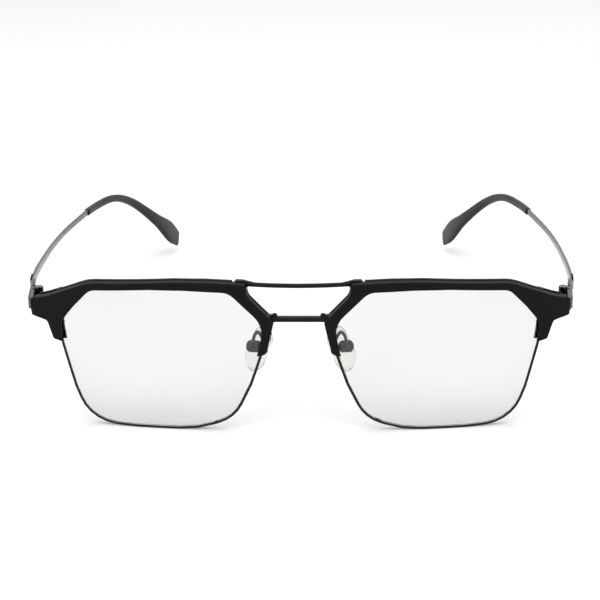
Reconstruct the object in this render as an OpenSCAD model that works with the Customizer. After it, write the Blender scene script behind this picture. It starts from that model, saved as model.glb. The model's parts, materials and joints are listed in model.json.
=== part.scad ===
// Double-bridge eyeglass frame with matte brow plates over thin metal rims.
// The front stands upright on the rims, +Y runs back along the temples, +Z is up.
// Every right-hand piece is drawn at positive x and mirrored for the left hand.

/* [Lenses] */
// Boxed width of each lens
lens_w = 54; // [50:0.5:58]
// Boxed height of each lens
lens_h = 40.2; // [37:0.2:44]
// Distance between the two lenses at the nose
dbl = 17.2; // [16:0.2:20]
// Thickness of each lens
lens_t = 1.4; // [1.2:0.1:1.5]
// How far the lens bevel reaches into the rim groove
bevel = 0.25; // [0.15:0.05:0.35]
// Height of the lens bevel at its rim
bevel_t = 0.6; // [0.4:0.1:0.7]

/* [Front] */
// Radius of the curve that the whole front follows
base_r = 150; // [130:5:200]
// Angle by which each half of the front is turned back
face_form = 5.3; // [3:0.1:7]
// Thickness of the rim wire, seen from the front
rim_t = 0.7; // [0.65:0.05:0.9]
// Depth of the rim wire, front to back
rim_d = 1.8; // [1.7:0.1:2]
// Clearance between neighbouring front pieces
fit_gap = 0.05; // [0.03:0.01:0.08]

/* [Brow plates] */
// Depth of a brow plate beside the rim
plate_d = 2; // [1.8:0.1:2.4]
// Thickness of the brow plate's lip over the rim
lip_t = 0.65; // [0.5:0.05:0.8]
// How far the lip reaches over the lens
lip_in = 0.4; // [0.2:0.05:0.5]
// How far the lip stands away from the nose
lip_shift = 0.3; // [0:0.05:0.35]
// Reach of the brow plate past the lens, out to the temple
end_reach = 8.2; // [7.5:0.05:9]
// Height of the brow plate above the rim opening
brow_rise = 1.8; // [1.6:0.1:2.4]
// Height of the brow plate's outer end
end_h = 4.45; // [4:0.05:5]
// Drop from the rim opening's top to the outer end's upper corner
end_drop = 5.6; // [5:0.1:6.2]
// Length of the nasal leg below the rim opening's top
nose_leg = 17.8; // [16:0.2:19]
// Length of the temple leg below the rim opening's top
side_leg = 15.95; // [15:0.1:17]
// Width of the nasal leg outside the rim opening
leg_w = 2.35; // [2.2:0.05:3]
// Thickness of the backing behind each brow plate
backing_t = 0.9; // [0.7:0.05:1.1]
// How far the backing stands out above the brow plate
backing_out = 0.15; // [0.05:0.05:0.4]
// How far the backing reaches over the lens
backing_in = 0.45; // [0.3:0.05:0.6]
// How far the backing of the temple leg reaches over the lens
leg_in = 0.85; // [0.6:0.05:1]
// Radius of the brow screws
brow_screw_r = 0.45; // [0.4:0.05:0.5]

/* [Bridges] */
// Diameter of the top bar
top_bar_dia = 1.2; // [1:0.05:1.3]
// How far the top bar bows forwards at its middle
top_bar_bow = 1.4; // [1:0.1:1.8]
// Thickness of the lower bridge bar
bridge_t = 1.3; // [1.1:0.1:1.5]
// Height of the lower bridge bar below the rim opening's top
bridge_drop = 9.3; // [9:0.1:9.8]

/* [Hinges] */
// Outside radius of a hinge knuckle
knuckle_r = 1.15; // [1.1:0.05:1.3]
// Height of the hinge, over its three knuckles
hinge_h = 3.9; // [3.4:0.1:4]
// Radius of the hinge screw
pin_r = 0.5; // [0.4:0.05:0.55]
// Running clearance around the hinge screw
pin_gap = 0.05; // [0.02:0.01:0.08]
// Clearance between the knuckles
knuckle_gap = 0.08; // [0.05:0.01:0.12]
// Distance from the back of the brow to the hinge screw
hinge_back = 3.9; // [3.6:0.1:4.6]
// Thickness of the end piece's side arm
arm_t = 1.3; // [1.2:0.05:1.4]
// Height of the end piece's side arm
arm_h = 3.2; // [2.9:0.1:3.4]
// Angle by which the side arm runs outwards
arm_flare = 5; // [3:0.5:7]

/* [Temples] */
// Angle of the temples below the square of the front
panto = 4; // [3:0.5:5]
// Length of the temple from the hinge to the start of the bend
bend_at = 92; // [85:1:100]
// Radius of the bend behind the ear
bend_r = 30; // [24:1:36]
// Angle of the bend
bend_angle = 42; // [38:1:46]
// Length of the straight tip after the bend
tip_len = 20; // [16:1:25]
// Length of the plastic sleeve
sleeve_len = 55; // [50:1:62]
// Thickness of the sleeve
sleeve_t = 1.9; // [1.7:0.1:2.3]
// Width of the paddle at the sleeve's end
paddle_w = 7.5; // [6.5:0.1:8.5]
// How far the sleeve slides over the metal core
core_in = 8; // [6:1:12]
// Length of the black inlay in the temple's outer side
inlay_len = 4.6; // [4:0.1:6]
// Thickness of the inlay
inlay_t = 0.55; // [0.4:0.05:0.6]

/* [Nose pads] */
// Width of a nose pad
pad_w = 8.4; // [7.6:0.2:9]
// Height of a nose pad
pad_h = 12.8; // [12:0.2:14]
// Thickness of a nose pad
pad_t = 2.2; // [1.8:0.1:2.6]
// Angle of the pads in plan, from straight across
pad_splay = 38; // [34:1:42]
// Angle of the pads seen from the front
pad_lean = 23; // [19:1:26]
// Distance of each pad box from the middle of the nose
pad_x = 12.5; // [12:0.1:13]
// Distance of each pad box behind the lens centre
pad_y = 9.4; // [9:0.1:10]
// Height of each pad box
pad_z = 20.9; // [20:0.1:21.5]
// Radius of the pad box
box_r = 1.6; // [1.5:0.05:1.8]
// Length of the pad box
box_t = 1.8; // [1.6:0.1:2]
// Diameter of the pad arm's wire
wire_dia = 0.9; // [0.8:0.05:1]
// Radius of the pad screw
pad_pin_r = 0.35; // [0.3:0.02:0.4]

/* [Hidden] */
$fn = 48;

// The rim opening's box, seen from the front
eye_w = lens_w - 2 * bevel;
eye_h = lens_h - 2 * bevel;
eye_x = (lens_w + dbl) / 2;
eye_z = rim_t + eye_h / 2;
nasal = eye_x - eye_w / 2;
outer = eye_x + eye_w / 2;
bottom = rim_t;
top = rim_t + eye_h;
end_x = outer + end_reach;

// Depths of the layers behind the front surface
rim_front = lip_t + fit_gap;
rim_back = rim_front + rim_d;
backing_front = plate_d + fit_gap;
backing_back = max(backing_front + backing_t, rim_back + fit_gap + 0.4);
lens_front = rim_front + (rim_d - lens_t) / 2;
bevel_front = rim_front + (rim_d - bevel_t) / 2;
prism_y0 = -6;
prism_y1 = 26;
sphere_fn = 180;
arc_step = 14;

// Longer than anything that a cutting block has to pass through
beyond = 60;

// Clearance of a screw in the piece that holds it
thread_gap = 0.02;

// The front surface is a ball whose centre lies behind each lens
ball_x = eye_x - base_r * sin(face_form);
ball_y = base_r * cos(face_form);
function front_y(x, z, d) =
    ball_y - sqrt(pow(base_r - d, 2) - pow(abs(x) - ball_x, 2) - pow(z - eye_z, 2));

// Corner lists are [x, z, rounding radius], clockwise from the upper nasal corner
eye_corners = [
    [nasal + 8.75, top - 0.8, 5],
    [nasal + 25.2, top, 80],
    [outer - 8.05, top - 1.4, 4],
    [outer - 2.15, top - 7.6, 20],
    [outer + 0.35, top - 11.4, 4],
    [outer - 1.25, bottom + 16.3, 60],
    [outer - 6.55, bottom + 1.1, 10],
    [outer - 16.35, bottom + 0.05, 40],
    [nasal + 18.3, bottom, 28],
    [nasal + 8.65, bottom + 3.45, 10],
    [nasal + 2.15, bottom + 17.3, 40],
    [nasal - 0.5, top - 10.05, 7]
];
nose_corner_x = nasal - leg_w;
nose_corner_z = top - 9.35;
end_top = top - end_drop;
end_bottom = end_top - end_h;
brow_corners = [
    [nasal + 4.75, top + brow_rise - 0.8, 0.5],
    [nasal + 19.15, top + brow_rise, 70],
    [outer - 7.45, top + brow_rise - 1.65, 10],
    [outer + 4.05, end_top + 1.1, 14],
    [end_x, end_top, 0.6],
    [end_x, end_bottom, 0.3],
    [outer + 3.95, end_bottom - 1.05, 1.2],
    [outer + 2.4, top - side_leg, 0.8],
    [outer - 0.35, top - side_leg - 0.7, 0.2],
    [outer - 4, top - side_leg - 1, 1],
    [nasal + 6, top - nose_leg - 0.5, 1],
    [nasal + 0.95, top - nose_leg - 0.8, 0.4],
    [nasal - 0.4, top - nose_leg, 0.8],
    [nose_corner_x, nose_corner_z, 1.5],
    [nasal + 4.3, top - 2.3, 3]
];

// Colours as the photograph shows them
black = [0.10, 0.10, 0.10];
gunmetal = [0.42, 0.42, 0.43];
soft_black = [0.20, 0.20, 0.20];
clear = [0.90, 0.92, 0.93, 0.35];
steel = [0.62, 0.62, 0.62];

function unit(v) = v / norm(v);
function wrap(list, i) = list[(i + len(list)) % len(list)];
function flat(p) = [p[0], p[1]];
function turn(a, b) = a[0] * b[1] - a[1] * b[0];

// Moves every side of a clockwise outline outwards by d and keeps its rounding concentric
function grown(c, d) = [
    for (i = [0 : len(c) - 1])
        let (
            p = flat(c[i]),
            e = unit(p - flat(wrap(c, i - 1))),
            f = unit(flat(wrap(c, i + 1)) - p),
            n = [-e[1], e[0]],
            m = [-f[1], f[0]],
            k = d / (1 + n * m),
            side = turn(e, f) < 0 ? 1 : -1
        )
        [p[0] + k * (n[0] + m[0]), p[1] + k * (n[1] + m[1]), max(0.05, c[i][2] + side * d)]
];

// Rounds each corner of an outline with an arc that touches both sides
function corner_arc(c, i) =
    let (
        p = flat(c[i]),
        e = unit(p - flat(wrap(c, i - 1))),
        f = unit(flat(wrap(c, i + 1)) - p),
        bend = acos(min(1, e * f)),
        side = turn(e, f) < 0 ? -1 : 1,
        r = c[i][2],
        t = r * tan(bend / 2),
        start = p - t * e,
        centre = start + side * r * [-e[1], e[0]],
        steps = max(1, ceil(bend / arc_step)),
        a0 = atan2(start[1] - centre[1], start[0] - centre[0])
    )
    [
        for (k = [0 : steps])
            let (a = a0 + side * bend * k / steps)
            centre + r * [cos(a), sin(a)]
    ];
function rounded(c) = [for (i = [0 : len(c) - 1]) each corner_arc(c, i)];
function shifted(c, dx) = [for (p = c) [p[0] + dx, p[1], p[2]]];

module eye(d) {
    polygon(rounded(grown(eye_corners, d)));
}

module brow(d) {
    polygon(rounded(grown(brow_corners, d)));
}

module lip_eye(d) {
    polygon(rounded(shifted(grown(eye_corners, d), lip_shift)));
}

// A slice of the front between two depths, cut to the outline given as a child
module slice(d0, d1) {
    difference() {
        intersection() {
            translate([0, prism_y1, 0]) rotate([90, 0, 0]) linear_extrude(prism_y1 - prism_y0) children();
            translate([ball_x, ball_y, eye_z]) sphere(base_r - d0, $fn = sphere_fn);
        }
        translate([ball_x, ball_y, eye_z]) sphere(base_r - d1, $fn = sphere_fn);
    }
}

// Joins rings of equal point counts into one closed skin
module loft(rings) {
    n = len(rings[0]);
    m = len(rings);
    points = [for (r = rings) each r];
    sides = [
        for (i = [0 : m - 2]) for (j = [0 : n - 1]) each [
            [i * n + j, i * n + (j + 1) % n, (i + 1) * n + (j + 1) % n],
            [i * n + j, (i + 1) * n + (j + 1) % n, (i + 1) * n + j]
        ]
    ];
    caps = [[for (j = [0 : n - 1]) n - 1 - j], [for (j = [0 : n - 1]) (m - 1) * n + j]];
    polyhedron(points, concat(sides, caps), convexity = 6);
}

// Smooth curve through a table of [key, value] rows
function slope(t, i) =
    let (a = max(0, i - 1), b = min(len(t) - 1, i + 1))
    (t[b][1] - t[a][1]) / (t[b][0] - t[a][0]);
function row_of(t, x, i = 0) = i >= len(t) - 2 || x <= t[i + 1][0] ? i : row_of(t, x, i + 1);
function curve(t, x) =
    let (
        i = row_of(t, x),
        h = t[i + 1][0] - t[i][0],
        u = min(1, max(0, (x - t[i][0]) / h)),
        v = 1 - u
    )
    t[i][1] * v * v * (1 + 2 * u) + t[i + 1][1] * u * u * (1 + 2 * v)
    + h * (slope(t, i) * u * v * v - slope(t, i + 1) * u * u * v);

// An oval ring with flattened sides around a point of a route; ref points to the ring's side
function oval(p, t, thick, up, down, sides, square, ref = [1, 0, 0]) =
    let (
        w = unit(cross(ref, t)),
        s = cross(unit(t), w)
    )
    [
        for (k = [0 : sides - 1])
            let (
                a = 360 * (k + 0.5) / sides,
                c = cos(a),
                q = sin(a),
                cs = sign(c) * pow(abs(c), 2 / square),
                qs = sign(q) * pow(abs(q), 2 / square)
            )
            p + s * cs * thick / 2 + w * qs * (qs > 0 ? up : down)
    ];

// The hinge screw's place, on the front and behind it
hinge_x = end_x - 1.15;
hinge_y = front_y(end_x, end_bottom + end_h / 2, backing_back) + hinge_back;
hinge_z = end_bottom + end_h / 2 + 0.85;
leaf_h = (hinge_h - 2 * knuckle_gap) / 3;
arm_out = end_x + 0.65;
arm_front = front_y(end_x, hinge_z, 0.1);
arm_mid = arm_out - arm_t / 2 / cos(arm_flare) + (hinge_y - arm_front) * tan(arm_flare) - hinge_x;
arm_side = arm_mid + arm_t / 2;

module at_hinge() {
    translate([hinge_x, hinge_y, hinge_z]) rotate([-panto, 0, 0]) children();
}

// The temple's centre line from the hinge, in the hinge's own frame
temple_start = 0.75;
stop_gap = 0.4;
bar_t = 0.85;
bend_len = bend_r * bend_angle * PI / 180;
temple_len = bend_at + bend_len + tip_len;
sleeve_start = temple_len - sleeve_len;
bow_table = [
    [0, arm_side - bar_t / 2], [8, arm_side + 0.7], [16, 3.5], [28, 3.5], [42, 3.1], [56, 2], [70, 0],
    [84, -2.6], [96, -6.7], [108, -11.8], [122, -19.5], [145, -28.9]
];
rise_table = [[0, 0.2], [8, 0.6], [20, 1.15], [150, 1.15]];
function bent(s) = min(bend_angle, max(0, (s - bend_at) / bend_r * 180 / PI));
function past(s) = max(0, s - bend_at - bend_len);
function temple_point(s) = [
    curve(bow_table, s),
    min(s, bend_at) + bend_r * sin(bent(s)) + past(s) * cos(bend_angle),
    curve(rise_table, s) - bend_r * (1 - cos(bent(s))) - past(s) * sin(bend_angle)
];
function temple_dir(s) = unit(temple_point(s + 0.5) - temple_point(s - 0.5));

// Thickness and height of the metal bar along its length
bar_thick = [[0, bar_t], [10, 0.9], [18, 0.95], [40, 0.9], [150, 1]];
bar_height = [[0, arm_h], [8, 3], [20, 2.4], [50, 1.7], [78, 1.7], [150, 1.2]];
bar_steps = 32;
inlay_at = 9;
inlay_out = 0.15;
inlay_over = 0.1;

// Half heights of the sleeve above and below its centre line, from its mouth to its end
mouth_h = 2.1;
sleeve_up = [[0, mouth_h / 2], [0.5, 1.4], [0.75, 1.3], [0.9, paddle_w * 0.36], [1, paddle_w * 0.22]];
sleeve_down = [[0, mouth_h / 2], [0.5, 1.2], [0.75, 3], [0.9, paddle_w * 0.64], [1, paddle_w * 0.5]];
sleeve_thick = [[0, sleeve_t], [0.6, sleeve_t], [0.85, sleeve_t + 0.2], [1, sleeve_t - 0.5]];
sleeve_steps = 32;

// The box around the whole frame is centred on x and y, and stands on z = 0
tip_end = temple_point(temple_len);
tip_back = 1.1;
mid_y = (hinge_y + tip_end[1] * cos(panto) + tip_end[2] * sin(panto) + tip_back) / 2;

module placed(side) {
    translate([0, -mid_y, 0]) {
        if (side < 0) {
            mirror([1, 0, 0]) children();
        } else {
            children();
        }
    }
}

// Rim wire, with a groove for the lens and a slit at the rim lock
lock_w = 1.7;
lock_d = 1.7;
lock_h = 2.4;
lock_x = outer + rim_t + 0.2 + lock_w / 2;
lock_z = top - side_leg + lock_h + 0.2;
lock_front = plate_d + fit_gap;
lock_y = front_y(lock_x, lock_z, lock_front);
slit = 0.2;
slit_in = 4;
lock_screw_r = 0.4;
lock_screw_y = lock_y + lock_d / 2 + 0.1;
lock_head_r = lock_screw_r + 0.3;
lock_head_t = 0.4;

module rim_slit() {
    translate([outer - slit_in, 0, lock_z - slit / 2]) cube([beyond, beyond, slit]);
}

module rim(side) {
    color(black) placed(side) difference() {
        slice(rim_front, rim_back) difference() {
            eye(rim_t);
            eye(0);
        }
        slice(bevel_front - fit_gap, bevel_front + bevel_t + fit_gap) eye(bevel + fit_gap);
        rim_slit();
    }
}

module lens(side) {
    color(clear) placed(side) union() {
        slice(lens_front, lens_front + lens_t) eye(-fit_gap);
        slice(bevel_front, bevel_front + bevel_t) eye(bevel);
    }
}

// Screws that hold the top bar's tab and the end piece to the brow plate
nose_screw = [nasal + 6.2, top - 0.8];
end_screw = [end_x - 4.6, end_bottom + end_h / 2];
screw_bite = 1.2;
screw_head_r = brow_screw_r + 0.3;
screw_head_t = 0.35;
head_sink = 0.3;
driver_w = 0.2;
driver_d = 0.15;

// Driver slot across the top of a screw head that stands on z = 0
module driver_slot(r, t) {
    translate([-r - 1, -driver_w / 2, t - driver_d]) cube([2 * r + 2, driver_w, 1]);
}

module front_hole(at, r, d0, d1) {
    y0 = front_y(at[0], at[1], d0);
    y1 = front_y(at[0], at[1], d1);
    translate([at[0], y1, at[1]]) rotate([90, 0, 0]) cylinder(y1 - y0, r = r, $fn = 32);
}

module brow_plate(side) {
    color(black) placed(side) difference() {
        union() {
            slice(0, lip_t) difference() {
                brow(0);
                lip_eye(-lip_in);
            }
            slice(lip_t / 2, plate_d) difference() {
                brow(0);
                eye(rim_t + fit_gap);
            }
        }
        front_hole(nose_screw, brow_screw_r + fit_gap, plate_d - screw_bite, plate_d + 1);
        front_hole(end_screw, brow_screw_r + fit_gap, plate_d - screw_bite, plate_d + 1);
    }
}

// The notch windows in the backing, for the top bar, the bridge and the rim lock
tab_in = nasal + 4.2;
tab_w = 3.7;
tab_out = tab_in + tab_w;
tab_foot = tab_in + 2.2;
tab_low = top - 2.6;
tab_top = top + brow_rise - 0.4;
bar_z = tab_top - 0.5 - top_bar_dia / 2;
bar_low = bar_z - top_bar_dia / 2;
foot_z = top - bridge_drop;
foot_up = 1.2;
foot_h = foot_up + bridge_t / 2;
foot_low = foot_z - bridge_t / 2;
foot_reach = 0.5;
notch = 0.3;

module backing_notches() {
    difference() {
        union() {
            polygon([
                [tab_in - beyond, bar_low - notch], [tab_in, bar_low - notch],
                [tab_foot - notch, tab_low - notch], [tab_out + notch, tab_low - notch],
                [tab_out + notch, beyond], [tab_in - beyond, beyond]
            ]);
            translate([nasal + foot_reach + notch - beyond, foot_low - notch])
                square([beyond, foot_h + 2 * notch]);
        }
        eye(rim_t + fit_gap);
    }
    translate([lock_x - lock_w / 2 - notch, lock_z - lock_h - notch])
        square([beyond, 2 * lock_h + lock_head_t + 2 * notch]);
}

module brow_backing(side) {
    color(soft_black) placed(side) union() {
        slice(backing_front, backing_back) difference() {
            brow(backing_out);
            eye(rim_t + fit_gap);
            backing_notches();
            backing_ends();
        }
        slice(rim_back + fit_gap, backing_back) difference() {
            brow(backing_out);
            backing_eye();
            backing_notches();
            backing_ends();
        }
        backing_tail();
    }
}

// Behind the end piece's base the backing runs on, with a hole for the screw head
module backing_tail() {
    difference() {
        slice(base_back + fit_gap, base_back + fit_gap + tail_d) difference() {
            intersection() {
                brow(backing_out);
                translate([tail_start, base_low]) square([tail_end - tail_start, beyond]);
            }
            eye(rim_t + 3 * fit_gap);
        }
        front_hole(end_screw, screw_head_r + 2 * fit_gap, base_front, base_back + tail_d + 1);
    }
}

// The backing's own opening is narrower beside the temple leg
module backing_eye() {
    difference() {
        eye(-backing_in);
        translate([outer - 6, top - side_leg - 2]) square([beyond, 6.5]);
    }
    eye(-leg_in);
}

// The backing stops short of the leg tips and of the end piece
leg_trim = 0.4;

module backing_ends() {
    translate([eye_x, top - side_leg - leg_trim - beyond]) square([beyond, beyond]);
    translate([eye_x - beyond, top - nose_leg + leg_trim - beyond]) square([beyond, beyond]);
    translate([base_in - 2 * fit_gap, 0]) square([beyond, beyond]);
}

// Slim bar across the top, with a flat tab behind each brow plate
tab_d = 1.25;
tab_front = plate_d + fit_gap;
tab_back = tab_front + tab_d;
tab_slope = 1.2;
tab_chamfer = 0.6;
bar_end = [tab_in + tab_slope, front_y(tab_in + tab_slope, bar_z, tab_front + tab_d / 2)];
bow_r = (bar_end[0] * bar_end[0] + top_bar_bow * top_bar_bow) / (2 * top_bar_bow);
bow_angle = asin(bar_end[0] / bow_r);
flare_len = 2.9;

module top_bar() {
    color(black) placed(1) difference() {
        union() {
            translate([0, bar_end[1] - top_bar_bow + bow_r, bar_z]) rotate([0, 0, 270 - bow_angle])
                rotate_extrude(angle = 2 * bow_angle, $fn = 96)
                translate([bow_r, 0]) circle(d = top_bar_dia, $fn = 24);
            for (side = [-1, 1]) scale([side, 1, 1]) {
                tab();
                flare();
            }
        }
        for (side = [-1, 1]) scale([side, 1, 1])
            front_hole(nose_screw, brow_screw_r + fit_gap, plate_d, tab_back + 1);
        for (side = [-1, 1]) scale([side, 1, 1])
            front_hole(nose_screw, screw_head_r + fit_gap, tab_back - head_sink, tab_back + 1);
    }
}

module tab() {
    slice(tab_front, tab_back) difference() {
        polygon([
            [tab_in, bar_low], [tab_in, bar_z + top_bar_dia / 2],
            [tab_in + tab_slope, tab_top - 0.1], [tab_out - tab_chamfer, tab_top],
            [tab_out, tab_top - tab_chamfer], [tab_out, tab_low], [tab_foot, tab_low]
        ]);
        eye(rim_t + 3 * fit_gap);
    }
}

// Flattened end of the bar, which widens into the tab
module flare() {
    translate([bar_end[0], bar_end[1], 0]) rotate([0, 0, bow_angle * 0.8])
        rotate([90, 0, 0]) linear_extrude(top_bar_dia * 0.8, center = true) polygon([
            [-flare_len, bar_z], [-flare_len, bar_z + top_bar_dia * 0.4], [-0.2, tab_top - 0.1],
            [0.4, tab_top - 0.1], [0.4, bar_low], [-0.8, bar_low]
        ]);
}

// Lower bridge bar, with a post and a foot against each rim
post_x = nasal - 2.6;
post_up = 0.95;
post_r = bridge_t / 2 + 0.05;
foot_d = 1.3;
bridge_y = front_y(post_x, foot_z, plate_d + fit_gap + bridge_t / 2);

module bridge() {
    color(black) placed(1) union() {
        translate([-post_x, bridge_y - bridge_t / 2, foot_z - bridge_t / 2])
            cube([2 * post_x, bridge_t, bridge_t]);
        for (side = [-1, 1]) {
            translate([side * post_x, bridge_y, foot_low])
                cylinder(post_up + bridge_t / 2, r = post_r, $fn = 32);
            translate([side * post_x, bridge_y, foot_z + post_up]) sphere(post_r, $fn = 32);
            scale([side, 1, 1]) slice(plate_d + fit_gap, plate_d + fit_gap + foot_d) difference() {
                translate([post_x, foot_low]) square([nasal - post_x + foot_reach, foot_h]);
                eye(rim_t + 2 * fit_gap);
            }
        }
    }
}

// End piece, from behind the brow plate round to the side, with two hinge knuckles
base_front = plate_d + fit_gap;
base_d = 0.7;
base_back = base_front + base_d;
base_in = end_x - 7;
tail_d = 0.6;
tail_start = base_in - 1.5;
tail_end = end_x - 2.2;
base_low = end_bottom + 0.35;
base_top = end_top - 0.25;
base_inset = 0.2;
swing_gap = 0.12;

module knuckle(z0, h, bore) {
    translate([0, 0, z0]) difference() {
        cylinder(h, r = knuckle_r);
        translate([0, 0, -1]) cylinder(h + 2, r = bore);
    }
}

module end_piece(side) {
    color(gunmetal) placed(side) difference() {
        union() {
            slice(base_front, base_back) difference() {
                base_outline();
                eye(rim_t + 2 * fit_gap);
            }
            arm_bar();
            at_hinge() {
                knuckle(-hinge_h / 2, leaf_h, pin_r + thread_gap);
                knuckle(hinge_h / 2 - leaf_h, leaf_h, pin_r + thread_gap);
                for (z = [-hinge_h / 2, hinge_h / 2 - leaf_h]) {
                    difference() {
                        translate([0, -knuckle_r, z]) cube([arm_mid - 0.2, knuckle_r, leaf_h]);
                        translate([0, 0, z - 1]) cylinder(leaf_h + 2, r = knuckle_r - 0.1);
                    }
                }
            }
        }
        at_hinge() translate([0, 0, -leaf_h / 2 - knuckle_gap])
            cylinder(leaf_h + 2 * knuckle_gap, r = knuckle_r + swing_gap);
        at_hinge() translate([0, temple_start - stop_gap, -beyond / 2]) cube([beyond, beyond, beyond]);
        slice(-1, plate_d + fit_gap) brow(fit_gap);
        front_hole(end_screw, brow_screw_r + fit_gap, plate_d, base_back + 1);
        front_hole(end_screw, screw_head_r + fit_gap, base_back - head_sink, base_back + 2);
    }
}

module base_outline() {
    intersection() {
        brow(-base_inset);
        translate([base_in, base_low]) square([end_x - base_in, beyond]);
    }
    translate([hinge_x, base_low]) square([arm_out - hinge_x - 0.1, base_top - base_low]);
}

// The side arm runs from beside the brow plate's end back to the hinge
module arm_bar() {
    translate([arm_out, arm_front, hinge_z - arm_h / 2 + rise_table[0][1]]) rotate([0, 0, -arm_flare])
        translate([-arm_t, 0, 0]) cube([arm_t, hinge_y + 1 - arm_front, arm_h]);
}

module brow_screws(side) {
    color(steel) placed(side) union() {
        brow_screw(nose_screw, tab_back);
        brow_screw(end_screw, base_back);
    }
}

module brow_screw(at, seat) {
    head = seat - head_sink + fit_gap;
    difference() {
        union() {
            front_hole(at, brow_screw_r, plate_d - screw_bite + 0.1, seat);
            front_hole(at, screw_head_r, head, head + screw_head_t);
        }
        translate([at[0], front_y(at[0], at[1], head), at[1]]) rotate([-90, 0, 0])
            driver_slot(screw_head_r, screw_head_t);
    }
}

// Split block that closes the rim around the lens, behind the brow plate
module rim_lock(side) {
    color(black) placed(side) difference() {
        slice(lock_front, lock_front + lock_d) translate([lock_x - lock_w / 2, lock_z - lock_h])
            square([lock_w, 2 * lock_h]);
        rim_slit();
        translate([lock_x, lock_screw_y, lock_z - lock_h - 1])
            cylinder(2 * lock_h + 2, r = lock_screw_r + thread_gap, $fn = 32);
        slice(rim_front, rim_back + fit_gap) eye(rim_t + fit_gap);
    }
}

module rim_screw(side) {
    color(steel) placed(side) translate([lock_x, lock_screw_y, lock_z + lock_h]) difference() {
        union() {
            translate([0, 0, -2 * lock_h]) cylinder(2 * lock_h + fit_gap, r = lock_screw_r, $fn = 32);
            translate([0, 0, fit_gap - thread_gap]) cylinder(lock_head_t, r = lock_head_r, $fn = 32);
        }
        driver_slot(lock_head_r, lock_head_t);
    }
}

pin_out = 0.1;
pin_head_t = 0.37;

module hinge_screw(side) {
    color(steel) placed(side) at_hinge() difference() {
        union() {
            translate([0, 0, -hinge_h / 2 - pin_out]) cylinder(hinge_h + 2 * pin_out, r = pin_r);
            translate([0, 0, hinge_h / 2 + thread_gap]) cylinder(pin_head_t, r = knuckle_r - 0.15);
        }
        translate([0, 0, hinge_h / 2]) driver_slot(knuckle_r, pin_head_t);
    }
}

leaf_end = 8.2;
leaf_t = 0.45;
leaf_up = 2.6;
leaf_mid = 0.45;
neck_r = 0.9;
neck_at = knuckle_r + neck_r;
function bar_in(s) = curve(bow_table, s) - curve(bar_thick, s) / 2 - fit_gap / 2;

module temple_hinge(side) {
    color(gunmetal) placed(side) at_hinge() difference() {
        union() {
            cylinder(leaf_h, r = knuckle_r, center = true);
            translate([0, 0, -leaf_h / 2]) linear_extrude(leaf_h) polygon([
                [0, 0], [knuckle_r - 0.15, 0.3], [knuckle_r - 0.15, temple_start],
                [bar_in(temple_start), temple_start], [bar_in(neck_at + 0.5), neck_at + 0.5],
                for (a = [0 : 15 : 90])
                    [bar_in(neck_at) - leaf_t - neck_r * (1 - cos(a)), neck_at - (neck_r + 0.06) * sin(a)]
            ]);
            translate([0, 0, leaf_mid - leaf_up / 2]) linear_extrude(leaf_up) polygon([
                for (k = [0 : 4]) let (s = neck_at + (leaf_end - neck_at) * k / 4) [bar_in(s), s],
                for (k = [4 : -1 : 0])
                    let (s = neck_at + (leaf_end - neck_at) * k / 4)
                    [bar_in(s) - leaf_t, s]
            ]);
        }
        cylinder(leaf_h + 2, r = pin_r + pin_gap, center = true);
    }
}

// The bar as one skin, grown by a clearance where the sleeve is bored for it
module bar_skin(grow) {
    loft([
        for (k = [0 : bar_steps])
            let (
                s = temple_start + (sleeve_start + core_in + grow - temple_start) * k / bar_steps,
                half = curve(bar_height, s) / 2 + grow
            )
            oval(temple_point(s), temple_dir(s), curve(bar_thick, s) + 2 * grow, half, half, 12, 4)
    ]);
}

module temple_bar(side) {
    color(gunmetal) placed(side) at_hinge() difference() {
        bar_skin(0);
        inlay_block(fit_gap);
    }
}

// Black inlay, let into the outer side of the bar
module inlay_block(grow) {
    at = temple_point(inlay_at);
    turned = atan2(temple_dir(inlay_at)[0], temple_dir(inlay_at)[1]);
    seat = curve(bar_thick, inlay_at) / 2 + inlay_out - inlay_t;
    translate([at[0], at[1], 0]) rotate([0, 0, -turned])
        translate([seat - grow, -inlay_len / 2 - grow, -beyond / 2])
        cube([grow == 0 ? inlay_t : beyond, inlay_len + 2 * grow, beyond]);
}

module temple_inlay(side) {
    h = curve(bar_height, inlay_at) + inlay_over;
    color(black) placed(side) at_hinge() intersection() {
        inlay_block(0);
        translate([-beyond / 2, 0, temple_point(inlay_at)[2] - h / 2]) cube([beyond, beyond, h]);
    }
}

module tip_sleeve(side) {
    color(soft_black) placed(side) at_hinge() difference() {
        loft([
            for (k = [0 : sleeve_steps])
                let (u = k / sleeve_steps, s = sleeve_start + sleeve_len * u)
                oval(temple_point(s), temple_dir(s), curve(sleeve_thick, u), curve(sleeve_up, u),
                    curve(sleeve_down, u), 16, 2.8)
        ]);
        bar_skin(fit_gap);
    }
}

// Nose pads, their boxes and the looped wire arms
module at_pad() {
    translate([pad_x, pad_y, pad_z]) rotate([0, -pad_lean, 0]) rotate([0, 0, 90 - pad_splay]) children();
}

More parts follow.
